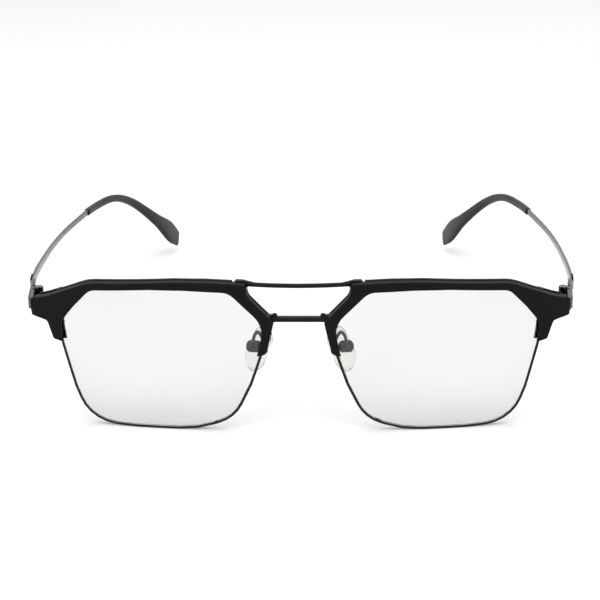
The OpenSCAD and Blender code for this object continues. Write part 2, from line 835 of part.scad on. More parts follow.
slot_w = 1.5;
tongue_w = slot_w - 0.2;
root_x = nasal - 0.2;
root_z = top - nose_leg - 0.4;
root_y = front_y(root_x, root_z, rim_back) + wire_dia / 2 - 0.25;
arm_route = [
    [root_x, root_y - 0.2, root_z], [root_x, root_y + 1.3, root_z + 0.3],
    [root_x + 0.5, root_y + 2, root_z + 1.6], [pad_x - 2.6, pad_y - 3.6, pad_z + 4.3],
    [pad_x - 1.6, pad_y - 2.9, pad_z + 5.3], [pad_x - 0.7, pad_y - 2.1, pad_z + 4.1],
    [pad_x - 0.25, pad_y - 1.3, pad_z + 2.3], [pad_x - 0.1, pad_y - 0.6, pad_z + 1]
];
function route_at(r, u) =
    let (
        i = min(len(r) - 2, floor(u)),
        a = r[max(0, i - 1)],
        b = r[i],
        c = r[i + 1],
        d = r[min(len(r) - 1, i + 2)],
        t = u - i
    )
    b + 0.5 * ((c - a) * t + (2 * a - 5 * b + 4 * c - d) * t * t + (3 * b - a - 3 * c + d) * t * t * t);
function route_dir(r, u) =
    unit(route_at(r, min(len(r) - 1.001, u + 0.02)) - route_at(r, max(0, u - 0.02)));

module pad_arm(side) {
    last = len(arm_route) - 1;
    color(black) placed(side) difference() {
        union() {
            loft([
                for (k = [0 : 28])
                    let (u = last * 0.9999 * k / 28)
                    oval(route_at(arm_route, u), route_dir(arm_route, u), wire_dia, wire_dia / 2,
                        wire_dia / 2, 10, 2, [1, -1, 0])
            ]);
            at_pad() translate([0, box_t / 2 - 0.2, 0]) rotate([90, 0, 0]) cylinder(box_t, r = box_r);
        }
        at_pad() translate([-slot_w / 2, -0.75, -3]) cube([slot_w, 4, 6]);
        at_pad() translate([-3, 0, 0]) rotate([0, 90, 0]) cylinder(6, r = pad_pin_r + 0.02, $fn = 24);
    }
}

module pad_screw(side) {
    color(steel) placed(side) at_pad() translate([-box_r + 0.1, 0, 0]) rotate([0, 90, 0])
        cylinder(2 * box_r - 0.2, r = pad_pin_r, $fn = 24);
}

flange_y = box_t / 2 + 0.35;
flange_t = 0.4;

module pad_insert(side) {
    color(steel) placed(side) at_pad() difference() {
        union() {
            translate([-tongue_w / 2, -0.55, -0.55]) cube([tongue_w, flange_y + 0.6, 1.1]);
            translate([0, flange_y + flange_t, 0]) rotate([90, 0, 0]) cylinder(flange_t, r = 1.6);
        }
        translate([-3, 0, 0]) rotate([0, 90, 0]) cylinder(6, r = pad_pin_r + 0.05, $fn = 24);
    }
}

// A pad is wider below than above, flat at the back and crowned towards the nose
pad_back = flange_y + flange_t + 0.02;
crown_r = 16;

module nose_pad(side) {
    color(clear) placed(side) at_pad() intersection() {
        translate([0, pad_back + pad_t, -0.6]) rotate([90, 0, 0]) linear_extrude(pad_t)
            polygon(rounded([
                [-pad_w / 2, -pad_h / 2, pad_w * 0.42],
                [-pad_w / 2 + 0.7, pad_h / 2, pad_w * 0.3],
                [pad_w / 2 - 0.7, pad_h / 2, pad_w * 0.4],
                [pad_w / 2, -pad_h / 2, pad_w * 0.49]
            ]));
        translate([0, pad_back + pad_t - crown_r, -0.6]) sphere(crown_r, $fn = sphere_fn);
    }
}

module left_rim() { rim(-1); }
module right_rim() { rim(1); }
module left_lens() { lens(-1); }
module right_lens() { lens(1); }
module left_brow_plate() { brow_plate(-1); }
module right_brow_plate() { brow_plate(1); }
module left_brow_backing() { brow_backing(-1); }
module right_brow_backing() { brow_backing(1); }
module left_end_piece() { end_piece(-1); }
module right_end_piece() { end_piece(1); }
module left_brow_screws() { brow_screws(-1); }
module right_brow_screws() { brow_screws(1); }
module left_rim_lock() { rim_lock(-1); }
module right_rim_lock() { rim_lock(1); }
module left_rim_screw() { rim_screw(-1); }
module right_rim_screw() { rim_screw(1); }
module left_hinge_screw() { hinge_screw(-1); }
module right_hinge_screw() { hinge_screw(1); }
module left_temple_hinge() { temple_hinge(-1); }
module right_temple_hinge() { temple_hinge(1); }
module left_temple_bar() { temple_bar(-1); }
module right_temple_bar() { temple_bar(1); }
module left_temple_inlay() { temple_inlay(-1); }
module right_temple_inlay() { temple_inlay(1); }
module left_tip_sleeve() { tip_sleeve(-1); }
module right_tip_sleeve() { tip_sleeve(1); }
module left_pad_arm() { pad_arm(-1); }
module right_pad_arm() { pad_arm(1); }
module left_pad_screw() { pad_screw(-1); }
module right_pad_screw() { pad_screw(1); }
module left_pad_insert() { pad_insert(-1); }
module right_pad_insert() { pad_insert(1); }
module left_nose_pad() { nose_pad(-1); }
module right_nose_pad() { nose_pad(1); }

left_rim();
right_rim();
left_lens();
right_lens();
left_brow_plate();
right_brow_plate();
left_brow_backing();
right_brow_backing();
top_bar();
bridge();
left_end_piece();
right_end_piece();
left_brow_screws();
right_brow_screws();
left_rim_lock();
right_rim_lock();
left_rim_screw();
right_rim_screw();
left_hinge_screw();
right_hinge_screw();
left_temple_hinge();
right_temple_hinge();
left_temple_bar();
right_temple_bar();
left_temple_inlay();
right_temple_inlay();
left_tip_sleeve();
right_tip_sleeve();
left_pad_arm();
right_pad_arm();
left_pad_screw();
right_pad_screw();
left_pad_insert();
right_pad_insert();
left_nose_pad();
right_nose_pad();
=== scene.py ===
import json
import math

import bmesh
import bpy
from bpy.props import FloatProperty, FloatVectorProperty, IntProperty, PointerProperty
from mathutils import Matrix, Vector

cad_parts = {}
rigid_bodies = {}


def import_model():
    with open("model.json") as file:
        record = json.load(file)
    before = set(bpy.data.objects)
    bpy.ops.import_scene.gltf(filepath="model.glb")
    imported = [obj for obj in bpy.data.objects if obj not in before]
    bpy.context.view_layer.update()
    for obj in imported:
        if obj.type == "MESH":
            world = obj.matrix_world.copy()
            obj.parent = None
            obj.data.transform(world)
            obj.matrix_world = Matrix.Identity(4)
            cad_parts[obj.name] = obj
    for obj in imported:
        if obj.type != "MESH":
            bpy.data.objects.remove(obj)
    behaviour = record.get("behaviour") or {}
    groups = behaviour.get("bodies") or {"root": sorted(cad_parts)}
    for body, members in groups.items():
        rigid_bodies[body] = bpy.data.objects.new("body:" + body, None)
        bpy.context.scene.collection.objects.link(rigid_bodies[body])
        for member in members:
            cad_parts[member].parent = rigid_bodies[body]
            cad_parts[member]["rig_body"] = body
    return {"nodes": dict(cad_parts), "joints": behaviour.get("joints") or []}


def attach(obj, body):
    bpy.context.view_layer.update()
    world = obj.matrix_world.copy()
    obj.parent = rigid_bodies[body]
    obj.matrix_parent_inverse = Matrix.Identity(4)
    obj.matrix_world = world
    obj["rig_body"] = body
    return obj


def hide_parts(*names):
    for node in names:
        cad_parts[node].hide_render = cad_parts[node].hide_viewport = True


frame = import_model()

bl_info = {
    "name": "Double-bridge eyeglass frame",
    "version": (1, 0, 0),
    "blender": (4, 5, 0),
    "location": "3D View > Sidebar > Eyeglasses",
    "description": "Finishes an eyeglass frame with brow plates, wire rims and sleeved temples",
    "category": "Object",
}

MM = 0.001
SIDES = ("left", "right")
NODES = frame["nodes"]
JOINTS = {joint["name"]: joint for joint in frame["joints"]}
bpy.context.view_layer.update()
IMAGE_SIDE = 600        # pixels, the photograph's width and height
SENSOR = 36 * MM        # the camera sensor's width
WELD = 0.0005 * MM      # vertices nearer than this are one
SHARP = 50              # degrees between two faces, over which their edge is rounded or shown sharp
FACING = 0.75           # how far a normal points along y on a front or back face
FLAT = 0.3              # radians between two faces that count as one
MOST_GROWTH = 1.03      # the most that rounded edges may enlarge a piece's skin


def linear(text):
    """Turns an sRGB hex colour such as "#8090a0" into linear red, green, blue and alpha."""
    parts = [int(text[i:i + 2], 16) / 255 for i in (1, 3, 5)]
    return [p / 12.92 if p <= 0.04045 else ((p + 0.055) / 1.055) ** 2.4 for p in parts] + [1.0]


def length(name, millimetres, description):
    """A size that a user can change, given in millimetres."""
    return FloatProperty(
        name=name, description=description, default=millimetres * MM, min=0, unit="LENGTH",
        subtype="DISTANCE")


def rotation(name, degrees, description):
    """An angle that a user can change, given in degrees."""
    return FloatProperty(
        name=name, description=description, default=math.radians(degrees), subtype="ANGLE")


def number(name, value, description, **limits):
    """A plain number that a user can change."""
    return FloatProperty(name=name, description=description, default=value, **limits)


def colour(name, text, description):
    """A colour that a user can change, given as sRGB hex."""
    return FloatVectorProperty(
        name=name, description=description, default=linear(text), size=4, min=0, max=1, subtype="COLOR")


class FrontSizes(bpy.types.PropertyGroup):
    """Edge roundings of the pieces of the front"""
    brow_edge: length("Brow edge", 0.3, "Rounding of the brow plate's front edge")
    rim_edge: length("Rim edge", 0.18, "Rounding of the rim wire's front and back edges")
    strip_edge: length("Strip edge", 0.08, "Rounding of the backing strip's front edge")
    strip_back: length("Strip back", 0.05, "Rounding of the backing strip's back edge")
    bar_edge: length("Bar edge", 0.15, "Rounding of the edges of the top bar and the bridge")
    metal_edge: length("Metal edge", 0.1, "Rounding of the edges of the end pieces and hinges")
    barrel_r: length("Barrel", 1.2, "Distance from the hinge screw within which the hinge is black")


class TempleSizes(bpy.types.PropertyGroup):
    """Sizes of the temples, along their centre line from the hinge screw"""
    start: length("Start", 0.75, "Distance from the hinge screw to the bar's front end")
    bend_at: length("Bend start", 92, "Length from the hinge to the start of the bend")
    bend_r: length("Bend radius", 30, "Radius of the bend behind the ear")
    bend_angle: rotation("Bend angle", 42, "Angle of the bend behind the ear")
    tip_len: length("Tip length", 20, "Length of the straight tip after the bend")
    sleeve_len: length("Sleeve length", 55, "Length of the plastic sleeve")
    core_in: length("Core", 8, "How far the metal bar runs inside the sleeve")
    sleeve_gap: length("Sleeve gap", 0.05, "Clearance between the bar and the sleeve's bore")
    mouth_edge: length("Mouth edge", 0.25, "Rounding of the sleeve's mouth and of its tip")
    bar_corners: IntProperty(name="Bar corners", description="Points around the bar", default=24, min=8)
    sleeve_corners: IntProperty(
        name="Sleeve corners", description="Points around the sleeve", default=40, min=8)


class PadSizes(bpy.types.PropertyGroup):
    """Sizes of the nose pads, in the frame of the pad's own joint"""
    width: length("Width", 8.4, "Width of a nose pad")
    height: length("Height", 12.8, "Height of a nose pad")
    thickness: length("Thickness", 2.2, "Thickness of a nose pad at its middle")
    back: length("Back", 1.67, "Distance from the pad screw to the pad's flat back")
    drop: length("Drop", 0.6, "How far the pad's middle lies below the pad screw")
    crown_r: length("Crown radius", 16, "Radius of the pad's crowned front")
    edge: length("Edge", 0.6, "Rounding of the pad's edge")
    wire_dia: length("Wire", 0.9, "Diameter of the pad arm's wire")
    box_r: length("Box radius", 1.6, "Radius of the round pad box")
    box_t: length("Box length", 1.8, "Length of the round pad box")
    slot_w: length("Box slot", 1.5, "Width of the slot that the pad's tongue sits in")


class ScrewSizes(bpy.types.PropertyGroup):
    """Proportions of the slotted screws"""
    slot_w: number("Slot width", 0.26, "Width of the driver slot, as a share of the head's radius", min=0)
    slot_d: number(
        "Slot depth", 0.45, "Depth of the driver slot, as a share of the head's height", min=0, max=1)
    dome: number("Dome", 0.4, "Drop of the head's edge, as a share of its height", min=0)


class FinishColours(bpy.types.PropertyGroup):
    """Colours of the finishes"""
    lacquer: colour("Matte lacquer", "#0d0d0c", "Near-black lacquer of the brow plates")
    moulded: colour("Moulded backing", "#080808", "Deep black of the backing strips")
    wire: colour("Rim wire", "#101010", "Black enamel of the rims")
    bar: colour("Bars", "#080808", "Black enamel of the top bar, the bridge and the pad arms")
    inlay: colour("Inlays", "#050505", "Black of the temples' inlays and of the pad boxes and inserts")
    gunmetal: colour("Gunmetal", "#5e5e5f", "Grey plating of the end pieces and the temples")
    sleeve: colour("Sleeves", "#20201f", "Dark grey of the temple sleeves")
    sheet: colour("Demo lenses", "#e5e5e5", "Faint tint of the demo lenses")
    silicone: colour("Silicone", "#f3f2ee", "Faint tint of the nose pads")
    steel: colour("Steel", "#8a8a8a", "Bare steel of the screws")


class StageSettings(bpy.types.PropertyGroup):
    """Camera, floor and lamps"""
    target: FloatVectorProperty(
        name="Target", description="Point that the camera looks at", size=3, unit="LENGTH",
        subtype="TRANSLATION", default=(0, -70.702 * MM, 36.57 * MM))
    distance: length("Distance", 450, "Distance from the camera to its target")
    azimuth: rotation("Azimuth", 1.79, "Turn of the camera about the vertical")
    elevation: rotation("Elevation", 22, "Height of the camera above the target")
    roll: rotation("Roll", -0.69, "Turn of the camera about its own axis")
    focal: number("Focal length", 1754.3, "Focal length in pixels of the 600-pixel picture")
    centre_x: number("Centre x", 298.33, "Pixel column of the lens axis")
    centre_y: number("Centre y", 303.99, "Pixel row of the lens axis")
    floor: colour("Floor", "#f4f4f4", "Pale floor")
    sky: number("Sky", 0.45, "Strength of the light from all round", min=0)
    glow: number("Floor glow", 0.2, "Brightness added to the floor where it is seen", min=0)


GROUPS = {
    "eyeglass_front": FrontSizes, "eyeglass_temples": TempleSizes, "eyeglass_pads": PadSizes,
    "eyeglass_screws": ScrewSizes, "eyeglass_finishes": FinishColours, "eyeglass_stage": StageSettings,
}


def live(sockets, name):
    """The socket of a name that is in use, where a node has one for each type of value."""
    return next(socket for socket in sockets if socket.name == name and socket.enabled)


def add_node(tree, kind, inputs=(), **settings):
    """Adds a node with its own settings and its inputs. An input is given a value, a socket to link
    to it, or a node, which stands for its first output in use."""
    node = tree.nodes.new(kind)
    for name, value in settings.items():
        setattr(node, name, value)
    for name, value in dict(inputs).items():
        socket = node.inputs[name] if isinstance(name, int) else live(node.inputs, name)
        if isinstance(value, bpy.types.Node):
            value = next(out for out in value.outputs if out.enabled)
        if isinstance(value, bpy.types.NodeSocket):
            tree.links.new(value, socket)
        else:
            socket.default_value = value
    return node


def emptied(owner):
    """The node tree of a material or a world, cleared."""
    owner.use_nodes = True
    owner.node_tree.nodes.clear()
    return owner.node_tree


def shader(name, inputs):
    """A new material with a Principled shader and Object coordinates in millimetres."""
    made = bpy.data.materials.new(name)
    tree = emptied(made)
    surface = add_node(tree, "ShaderNodeBsdfPrincipled", inputs)
    add_node(tree, "ShaderNodeOutputMaterial", {"Surface": surface})
    place = add_node(tree, "ShaderNodeTexCoord").outputs["Object"]
    where = add_node(tree, "ShaderNodeMapping", {"Scale": [1 / MM] * 3, "Vector": place})
    return made, tree, surface, where


def spread_noise(tree, where, size, detail, stretch, spread, values):
    """A noise with grains of size millimetres, stretched along an axis where stretch is under 1, and
    the same noise turned from the range of spread to that of values."""
    scaled = add_node(tree, "ShaderNodeMapping", {"Scale": stretch, "Vector": where})
    noise = add_node(tree, "ShaderNodeTexNoise", {"Scale": 1 / size, "Detail": detail, "Vector": scaled})
    ramp = add_node(tree, "ShaderNodeMapRange", {
        "From Min": spread[0], "From Max": spread[1], "To Min": values[0], "To Max": values[1],
        "Value": noise})
    return noise, ramp


def grain(tree, surface, where, size, rough, low, high, height, stretch=(1, 1, 1), detail=2.0):
    """Varies roughness from low to high and raises bumps of height millimetres."""
    noise, ramp = spread_noise(
        tree, where, size, detail, stretch, (0.3, 0.7), (rough + low, rough + high))
    bump = add_node(tree, "ShaderNodeBump", {"Strength": 1.0, "Distance": height * MM, "Height": noise})
    tree.links.new(ramp.outputs["Result"], surface.inputs["Roughness"])
    tree.links.new(bump.outputs["Normal"], surface.inputs["Normal"])
    return noise


def shade(tree, surface, base, noise, dark, light):
    """Varies the base colour between dark and light times itself with a noise."""
    low, high = ([c * times for c in base[:3]] + [1.0] for times in (dark, light))
    mix = add_node(tree, "ShaderNodeMix", {"Factor": noise, "A": low, "B": high}, data_type="RGBA")
    tree.links.new(live(mix.outputs, "Result"), surface.inputs["Base Color"])


def speckled(name, values, base, tones, **grains):
    """An opaque material whose roughness, bumps and tone vary with one fine grain."""
    made, tree, surface, where = shader(name, values)
    shade(tree, surface, base, grain(tree, surface, where, **grains), *tones)
    return made


def matte_lacquer(base):
    """Matte black lacquer sprayed on aluminium: near black from the front, grey at a grazing look,
    with the fine orange peel that a spray gun leaves."""
    return speckled(
        "Matte black lacquer, sprayed", {"Specular IOR Level": 0.1, "IOR": 1.5}, base, (0.85, 1.15),
        size=0.35, rough=0.42, low=-0.05, high=0.06, height=0.004)


def moulded_nylon(base):
    """Black nylon, injection moulded and spark-textured: deep black with a faint soft sheen."""
    return speckled(
        "Black nylon, moulded", {"Specular IOR Level": 0.1, "IOR": 1.53}, base, (0.8, 1.2),
        size=0.25, rough=0.35, low=-0.04, high=0.05, height=0.003)


def enamelled_wire(base):
    """Drawn steel wire with black enamel, fired on: black from the front, with a clear grey gleam along
    its upper side."""
    return speckled(
        "Black enamel on drawn steel", {"Specular IOR Level": 0.2, "IOR": 1.5}, base, (0.9, 1.1),
        size=0.2, rough=0.2, low=-0.04, high=0.06, height=0.001)


def satin_enamel(base):
    """Steel bars with satin black enamel: black from the front and softly grey on top."""
    return speckled(
        "Satin black enamel on steel", {"Specular IOR Level": 0.16, "IOR": 1.5}, base, (0.9, 1.1),
        size=0.3, rough=0.2, low=-0.05, high=0.06, height=0.0015)


def filled_epoxy(base):
    """Black epoxy, filled into the temples' grooves or coated on the pads' metal, and rubbed down: it
    stays black at a grazing look too."""
    return speckled(
        "Black epoxy, rubbed matte", {"Specular IOR Level": 0.03, "IOR": 1.5}, base, (0.8, 1.2),
        size=0.3, rough=0.5, low=-0.05, high=0.06, height=0.002)


def brushed_gunmetal(base):
    """Gunmetal plating on brushed steel: grey, with fine lines along the temple. The lines of the real
    one are about 0.05 mm apart, and are drawn 0.2 mm apart so that they show."""
    return speckled(
        "Gunmetal plating on brushed steel", {"Metallic": 1.0}, base, (0.85, 1.12),
        size=0.2, rough=0.18, low=-0.05, high=0.07, height=0.001, stretch=(1, 0.03, 1), detail=3.0)


def tumbled_acetate(base):
    """Dark grey cellulose acetate, tumbled to a soft matte: fine speckle and a broad soft highlight."""
    return speckled(
        "Dark acetate, tumbled matte", {"Specular IOR Level": 0.28, "IOR": 1.48}, base, (0.85, 1.2),
        size=0.4, rough=0.37, low=-0.05, high=0.07, height=0.004)


def clear_sheet(base):
    """Clear acrylic sheet, cut and uncoated: a faint tint, mirror-smooth, with hairline handling marks."""
    made, tree, surface, where = shader(
        "Clear acrylic sheet", {"Transmission Weight": 1.0, "IOR": 1.49, "Base Color": base})
    # The marks are 1.7 mm wide, and longer up the lens than across it
    noise, ramp = spread_noise(tree, where, 1 / 0.6, 4.0, (1, 1, 0.2), (0.35, 0.7), (0.0, 0.03))
    tree.links.new(ramp.outputs["Result"], surface.inputs["Roughness"])
    return made


def clear_silicone(base):
    """Clear silicone, moulded: slightly cloudy and soft-edged, with a faint grey outline."""
    made, tree, surface, where = shader(
        "Clear silicone, moulded", {"Transmission Weight": 1.0, "IOR": 1.41, "Base Color": base})
    grain(tree, surface, where, size=0.8, rough=0.07, low=-0.04, high=0.05, height=0.004)
    return made


def turned_steel(base):
    """Bare steel, turned on a lathe: bright, with fine tool marks 0.1 mm apart."""
    return speckled(
        "Turned steel", {"Metallic": 1.0}, base, (0.9, 1.08),
        size=0.1, rough=0.24, low=-0.05, high=0.08, height=0.0006)


# Each finish by its name in FinishColours
FINISHES = {
    "lacquer": matte_lacquer, "moulded": moulded_nylon, "wire": enamelled_wire, "bar": satin_enamel,
    "inlay": filled_epoxy, "gunmetal": brushed_gunmetal, "sleeve": tumbled_acetate, "sheet": clear_sheet,
    "silicone": clear_silicone, "steel": turned_steel,
}
# The finish of each kind of piece
KIND_FINISH = {
    "rim": "wire", "rim_lock": "wire", "lens": "sheet", "brow_plate": "lacquer",
    "brow_backing": "moulded", "top_bar": "bar", "bridge": "bar", "end_piece": "gunmetal",
    "temple_hinge": "gunmetal", "temple_bar": "gunmetal", "temple_inlay": "inlay",
    "tip_sleeve": "sleeve", "pad_arm": "bar", "pad_box": "inlay", "pad_insert": "inlay",
    "nose_pad": "silicone", "screw": "steel",
}
made_finishes = {}


def finish(kind):
    """The material of a kind of piece, made once."""
    name = KIND_FINISH[kind]
    if name not in made_finishes:
        made_finishes[name] = FINISHES[name](list(getattr(bpy.context.scene.eyeglass_finishes, name)))
    return made_finishes[name]


NODE_BODY = {name: made["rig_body"] for name, made in NODES.items()}


def dress(node, kind):
    """Gives a CAD node, whose shape stays, its finish."""
    for held in NODES[node].material_slots:
        held.material = finish(kind)


def put(piece, kind, *nodes):
    """Gives a new piece its finish and its body, and hides the CAD nodes that it replaces."""
    piece.data.materials.clear()
    piece.data.materials.append(finish(kind))
    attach(piece, NODE_BODY[nodes[0]])
    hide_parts(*nodes)
    return piece


def link(name, mesh):
    """A new object at the origin that shows a mesh."""
    piece = bpy.data.objects.new(name, mesh)
    bpy.context.scene.collection.objects.link(piece)
    return piece


def merged(node):
    """A CAD node's mesh as a bmesh, with its loose triangles joined."""
    work = bmesh.new()
    work.from_mesh(NODES[node].data)
    bmesh.ops.remove_doubles(work, verts=work.verts, dist=WELD)
    return work


def plain_mesh(name, work, sharp=SHARP):
    """Turns a bmesh into a mesh with smooth faces, sharp where two meet at over so many degrees."""
    rough = bpy.data.meshes.new(name)
    work.to_mesh(rough)
    work.free()
    mesh = bpy.data.meshes.new(name)
    mesh.from_pydata(
        [v.co for v in rough.vertices], [], [list(p.vertices) for p in rough.polygons])
    bpy.data.meshes.remove(rough)
    mesh.polygons.foreach_set("use_smooth", [True] * len(mesh.polygons))
    mesh.set_sharp_from_angle(angle=math.radians(sharp))
    return mesh


def applied(piece):
    """Turns a piece with modifiers into a plain mesh."""
    bpy.context.view_layer.update()
    graph = bpy.context.evaluated_depsgraph_get()
    mesh = bpy.data.meshes.new_from_object(piece.evaluated_get(graph), depsgraph=graph)
    piece.modifiers.clear()
    piece.data = mesh
    return piece


def softened(name, node, kind, widths, weld=0.0):
    """A copy of a CAD node with rounded edges. widths gives the rounding of the edges round its front
    faces, round its back faces and of the others; 0 leaves an edge sharp. With weld, edges shorter than
    that are closed up, and the faces of the front and back are joined into one each first."""
    work = merged(node)
    if weld:
        for sense in (-1, 1):
            faces = {f for f in work.faces if f.normal.y * sense > FACING}
            inner = [e for e in work.edges if faces.issuperset(e.link_faces) and e.calc_face_angle(0) < FLAT]
            bmesh.ops.dissolve_edges(work, edges=inner, use_verts=False)
        short = [e for e in work.edges if e.calc_length() < weld]
        bmesh.ops.collapse(work, edges=short, uvs=False)
        work.normal_update()
    before = skin_area(work)
    for place, width in enumerate(widths):
        if width > 0:
            picked = [e for e in work.edges if is_corner(e) and place_of(e) == place]
            bmesh.ops.bevel(
                work, geom=picked, offset=width, offset_type="OFFSET", segments=3, profile=0.5,
                affect="EDGES", clamp_overlap=not weld)
            work.normal_update()
    bmesh.ops.triangulate(work, faces=[f for f in work.faces if len(f.verts) > 4])
    if skin_area(work) > before * MOST_GROWTH:
        raise RuntimeError(node + " folds over itself where its edges are rounded")
    piece = link(name, plain_mesh(name, work))
    even = piece.modifiers.new("Weighted normals", "WEIGHTED_NORMAL")
    even.keep_sharp = True
    return put(applied(piece), kind, node)


def part_finish(piece, kind, chosen):
    """Gives the faces that chosen picks, by their middle and their normal, the finish of another kind."""
    piece.data.materials.append(finish(kind))
    for face in piece.data.polygons:
        if chosen(face.center, face.normal):
            face.material_index = 1


def skin_area(work):
    """The area of a bmesh's faces."""
    return sum(face.calc_area() for face in work.faces)


def is_corner(edge):
    """True for an outward edge that is sharp enough to be rounded."""
    return len(edge.link_faces) == 2 and edge.is_convex and edge.calc_face_angle(0) > math.radians(SHARP)


def reach(points, way):
    """The least and the greatest reach of points along a direction."""
    along = [point.dot(way) for point in points]
    return min(along), max(along)


def place_of(edge):
    """0 for an edge of a front face, 1 for one of a back face and 2 for any other."""
    ys = [face.normal.y for face in edge.link_faces]
    return 0 if min(ys) < -FACING else 1 if max(ys) > FACING else 2


class EYEGLASS_OT_brows(bpy.types.Operator):
    """Make the brow plates and the black strips behind them"""
    bl_idname = "eyeglass.brows"
    bl_label = "Brow plates"

    def execute(self, context):
        sizes = context.scene.eyeglass_front
        for side in SIDES:
            softened(
                side + "_brow_face", side + "_brow_plate", "brow_plate", (sizes.brow_edge, 0, 0),
                weld=0.05 * MM)
            softened(
                side + "_backing_strip", side + "_brow_backing", "brow_backing",
                (sizes.strip_edge, sizes.strip_back, 0), weld=0.15 * MM)
        return {"FINISHED"}


class EYEGLASS_OT_rims(bpy.types.Operator):
    """Make the rim wires and the blocks that close them"""
    bl_idname = "eyeglass.rims"
    bl_label = "Rims"

    def execute(self, context):
        sizes = context.scene.eyeglass_front
        for side in SIDES:
            wire = softened(
                side + "_rim_wire", side + "_rim", "rim", (sizes.rim_edge, sizes.rim_edge, 0),
                weld=0.15 * MM)
            spots = [v.co for v in NODES[side + "_rim"].data.vertices]
            middle = Vector([sum(reach(spots, axis)) / 2 for axis in Matrix.Identity(3)])
            # The wire is enamelled on its outside. Its inner wall beside the lens gets the lighter gunmetal
            # finish, a painted reflection: the wire is black there too, and looks grey where it mirrors the
            # bright surroundings
            part_finish(wire, "end_piece", lambda spot, way: abs(way.y) < 0.5 and way.dot(middle - spot) > 0)
            softened(side + "_rim_block", side + "_rim_lock", "rim_lock", (sizes.metal_edge,) * 3)
        return {"FINISHED"}


class EYEGLASS_OT_lenses(bpy.types.Operator):
    """Finish the demo lenses, whose CAD shape stays"""
    bl_idname = "eyeglass.lenses"
    bl_label = "Lenses"

    def execute(self, context):
        for side in SIDES:
            dress(side + "_lens", "lens")
        return {"FINISHED"}


class EYEGLASS_OT_bridges(bpy.types.Operator):
    """Make the top bar and the lower bridge"""
    bl_idname = "eyeglass.bridges"
    bl_label = "Bridges"

    def execute(self, context):
        sizes = context.scene.eyeglass_front
        softened("top_bar_wire", "top_bar", "top_bar", (sizes.bar_edge,) * 3)
        softened("lower_bridge_bar", "bridge", "bridge", (sizes.bar_edge,) * 3)
        return {"FINISHED"}


class EYEGLASS_OT_hinges(bpy.types.Operator):
    """Make the end pieces, the temples' hinge leaves and the inlays"""
    bl_idname = "eyeglass.hinges"
    bl_label = "Hinges"

    def execute(self, context):
        sizes = context.scene.eyeglass_front
        for side in SIDES:
            joint = JOINTS[side + "_temple_fold"]
            pin, way = Vector(joint["pos_m"]), Vector(joint["axis"])

            def on_barrel(spot, normal):
                out = spot - pin
                return (out - way * out.dot(way)).length < sizes.barrel_r

            edges = (sizes.metal_edge,) * 3
            for name, node in (("hinge_block", "end_piece"), ("hinge_leaf", "temple_hinge")):
                piece = softened(side + "_" + name, side + "_" + node, node, edges)
                part_finish(piece, "bridge", on_barrel)
            softened(side + "_black_inlay", side + "_temple_inlay", "temple_inlay", edges)
        return {"FINISHED"}


def slope(table, i):
    """The slope of a table of keys and values at one row."""
    low, high = table[max(0, i - 1)], table[min(len(table) - 1, i + 1)]
    return (high[1] - low[1]) / (high[0] - low[0])


def curve(table, key):
    """A smooth curve through a table of keys and values, as in the part's source."""
    i = 0
    while i < len(table) - 2 and key > table[i + 1][0]:
        i += 1
    span = table[i + 1][0] - table[i][0]
    u = min(1, max(0, (key - table[i][0]) / span))
    v = 1 - u
    return (
        table[i][1] * v * v * (1 + 2 * u) + table[i + 1][1] * u * u * (1 + 2 * v)
        + span * (slope(table, i) * u * v * v - slope(table, i + 1) * u * u * v))


# The temple's sideways bow, its rise, and the bar's thickness and height, in mm, by the length in mm
# from the hinge screw
BOW = (
    (0, 1.972), (8, 3.097), (16, 3.5), (28, 3.5), (42, 3.1), (56, 2), (70, 0), (84, -2.6),
    (96, -6.7), (108, -11.8), (122, -19.5), (145, -28.9))
RISE = ((0, 0.2), (8, 0.6), (20, 1.15), (150, 1.15))
BAR_THICK = ((0, 0.85), (10, 0.9), (18, 0.95), (40, 0.9), (150, 1))
BAR_HEIGHT = ((0, 3.2), (8, 3), (20, 2.4), (50, 1.7), (78, 1.7), (150, 1.2))
# The sleeve's heights above and below its centre line and its thickness, in mm, by the share of its length
SLEEVE_UP = ((0, 1.05), (0.5, 1.4), (0.75, 1.3), (0.9, 2.7), (1, 1.65))
SLEEVE_DOWN = ((0, 1.05), (0.5, 1.2), (0.75, 3), (0.9, 4.8), (1, 3.75))
SLEEVE_THICK = ((0, 1.9), (0.6, 1.9), (0.85, 2.1), (1, 1.4))
# The rounding of the bar's front end: how far behind it and how much smaller each ring is, in mm
BAR_END = ((0, -0.12), (0.04, -0.04))
BAR_FULL = 0.12         # how far behind its front end the bar has its full size, in mm
BAR_STEPS = 80
SLEEVE_STEPS = 90
BORE_STEPS = 8
# The rings round the sleeve's mouth and its tip, in degrees of their rounding
MOUTH_RINGS = (80, 60, 40, 20)
TIP_RINGS = (25, 45, 65, 80, 90)
# How square each section is: 2 is an ellipse, and more is squarer
ROUND, SLEEVE_SQUARE, BAR_SQUARE = 2.0, 2.8, 4.0


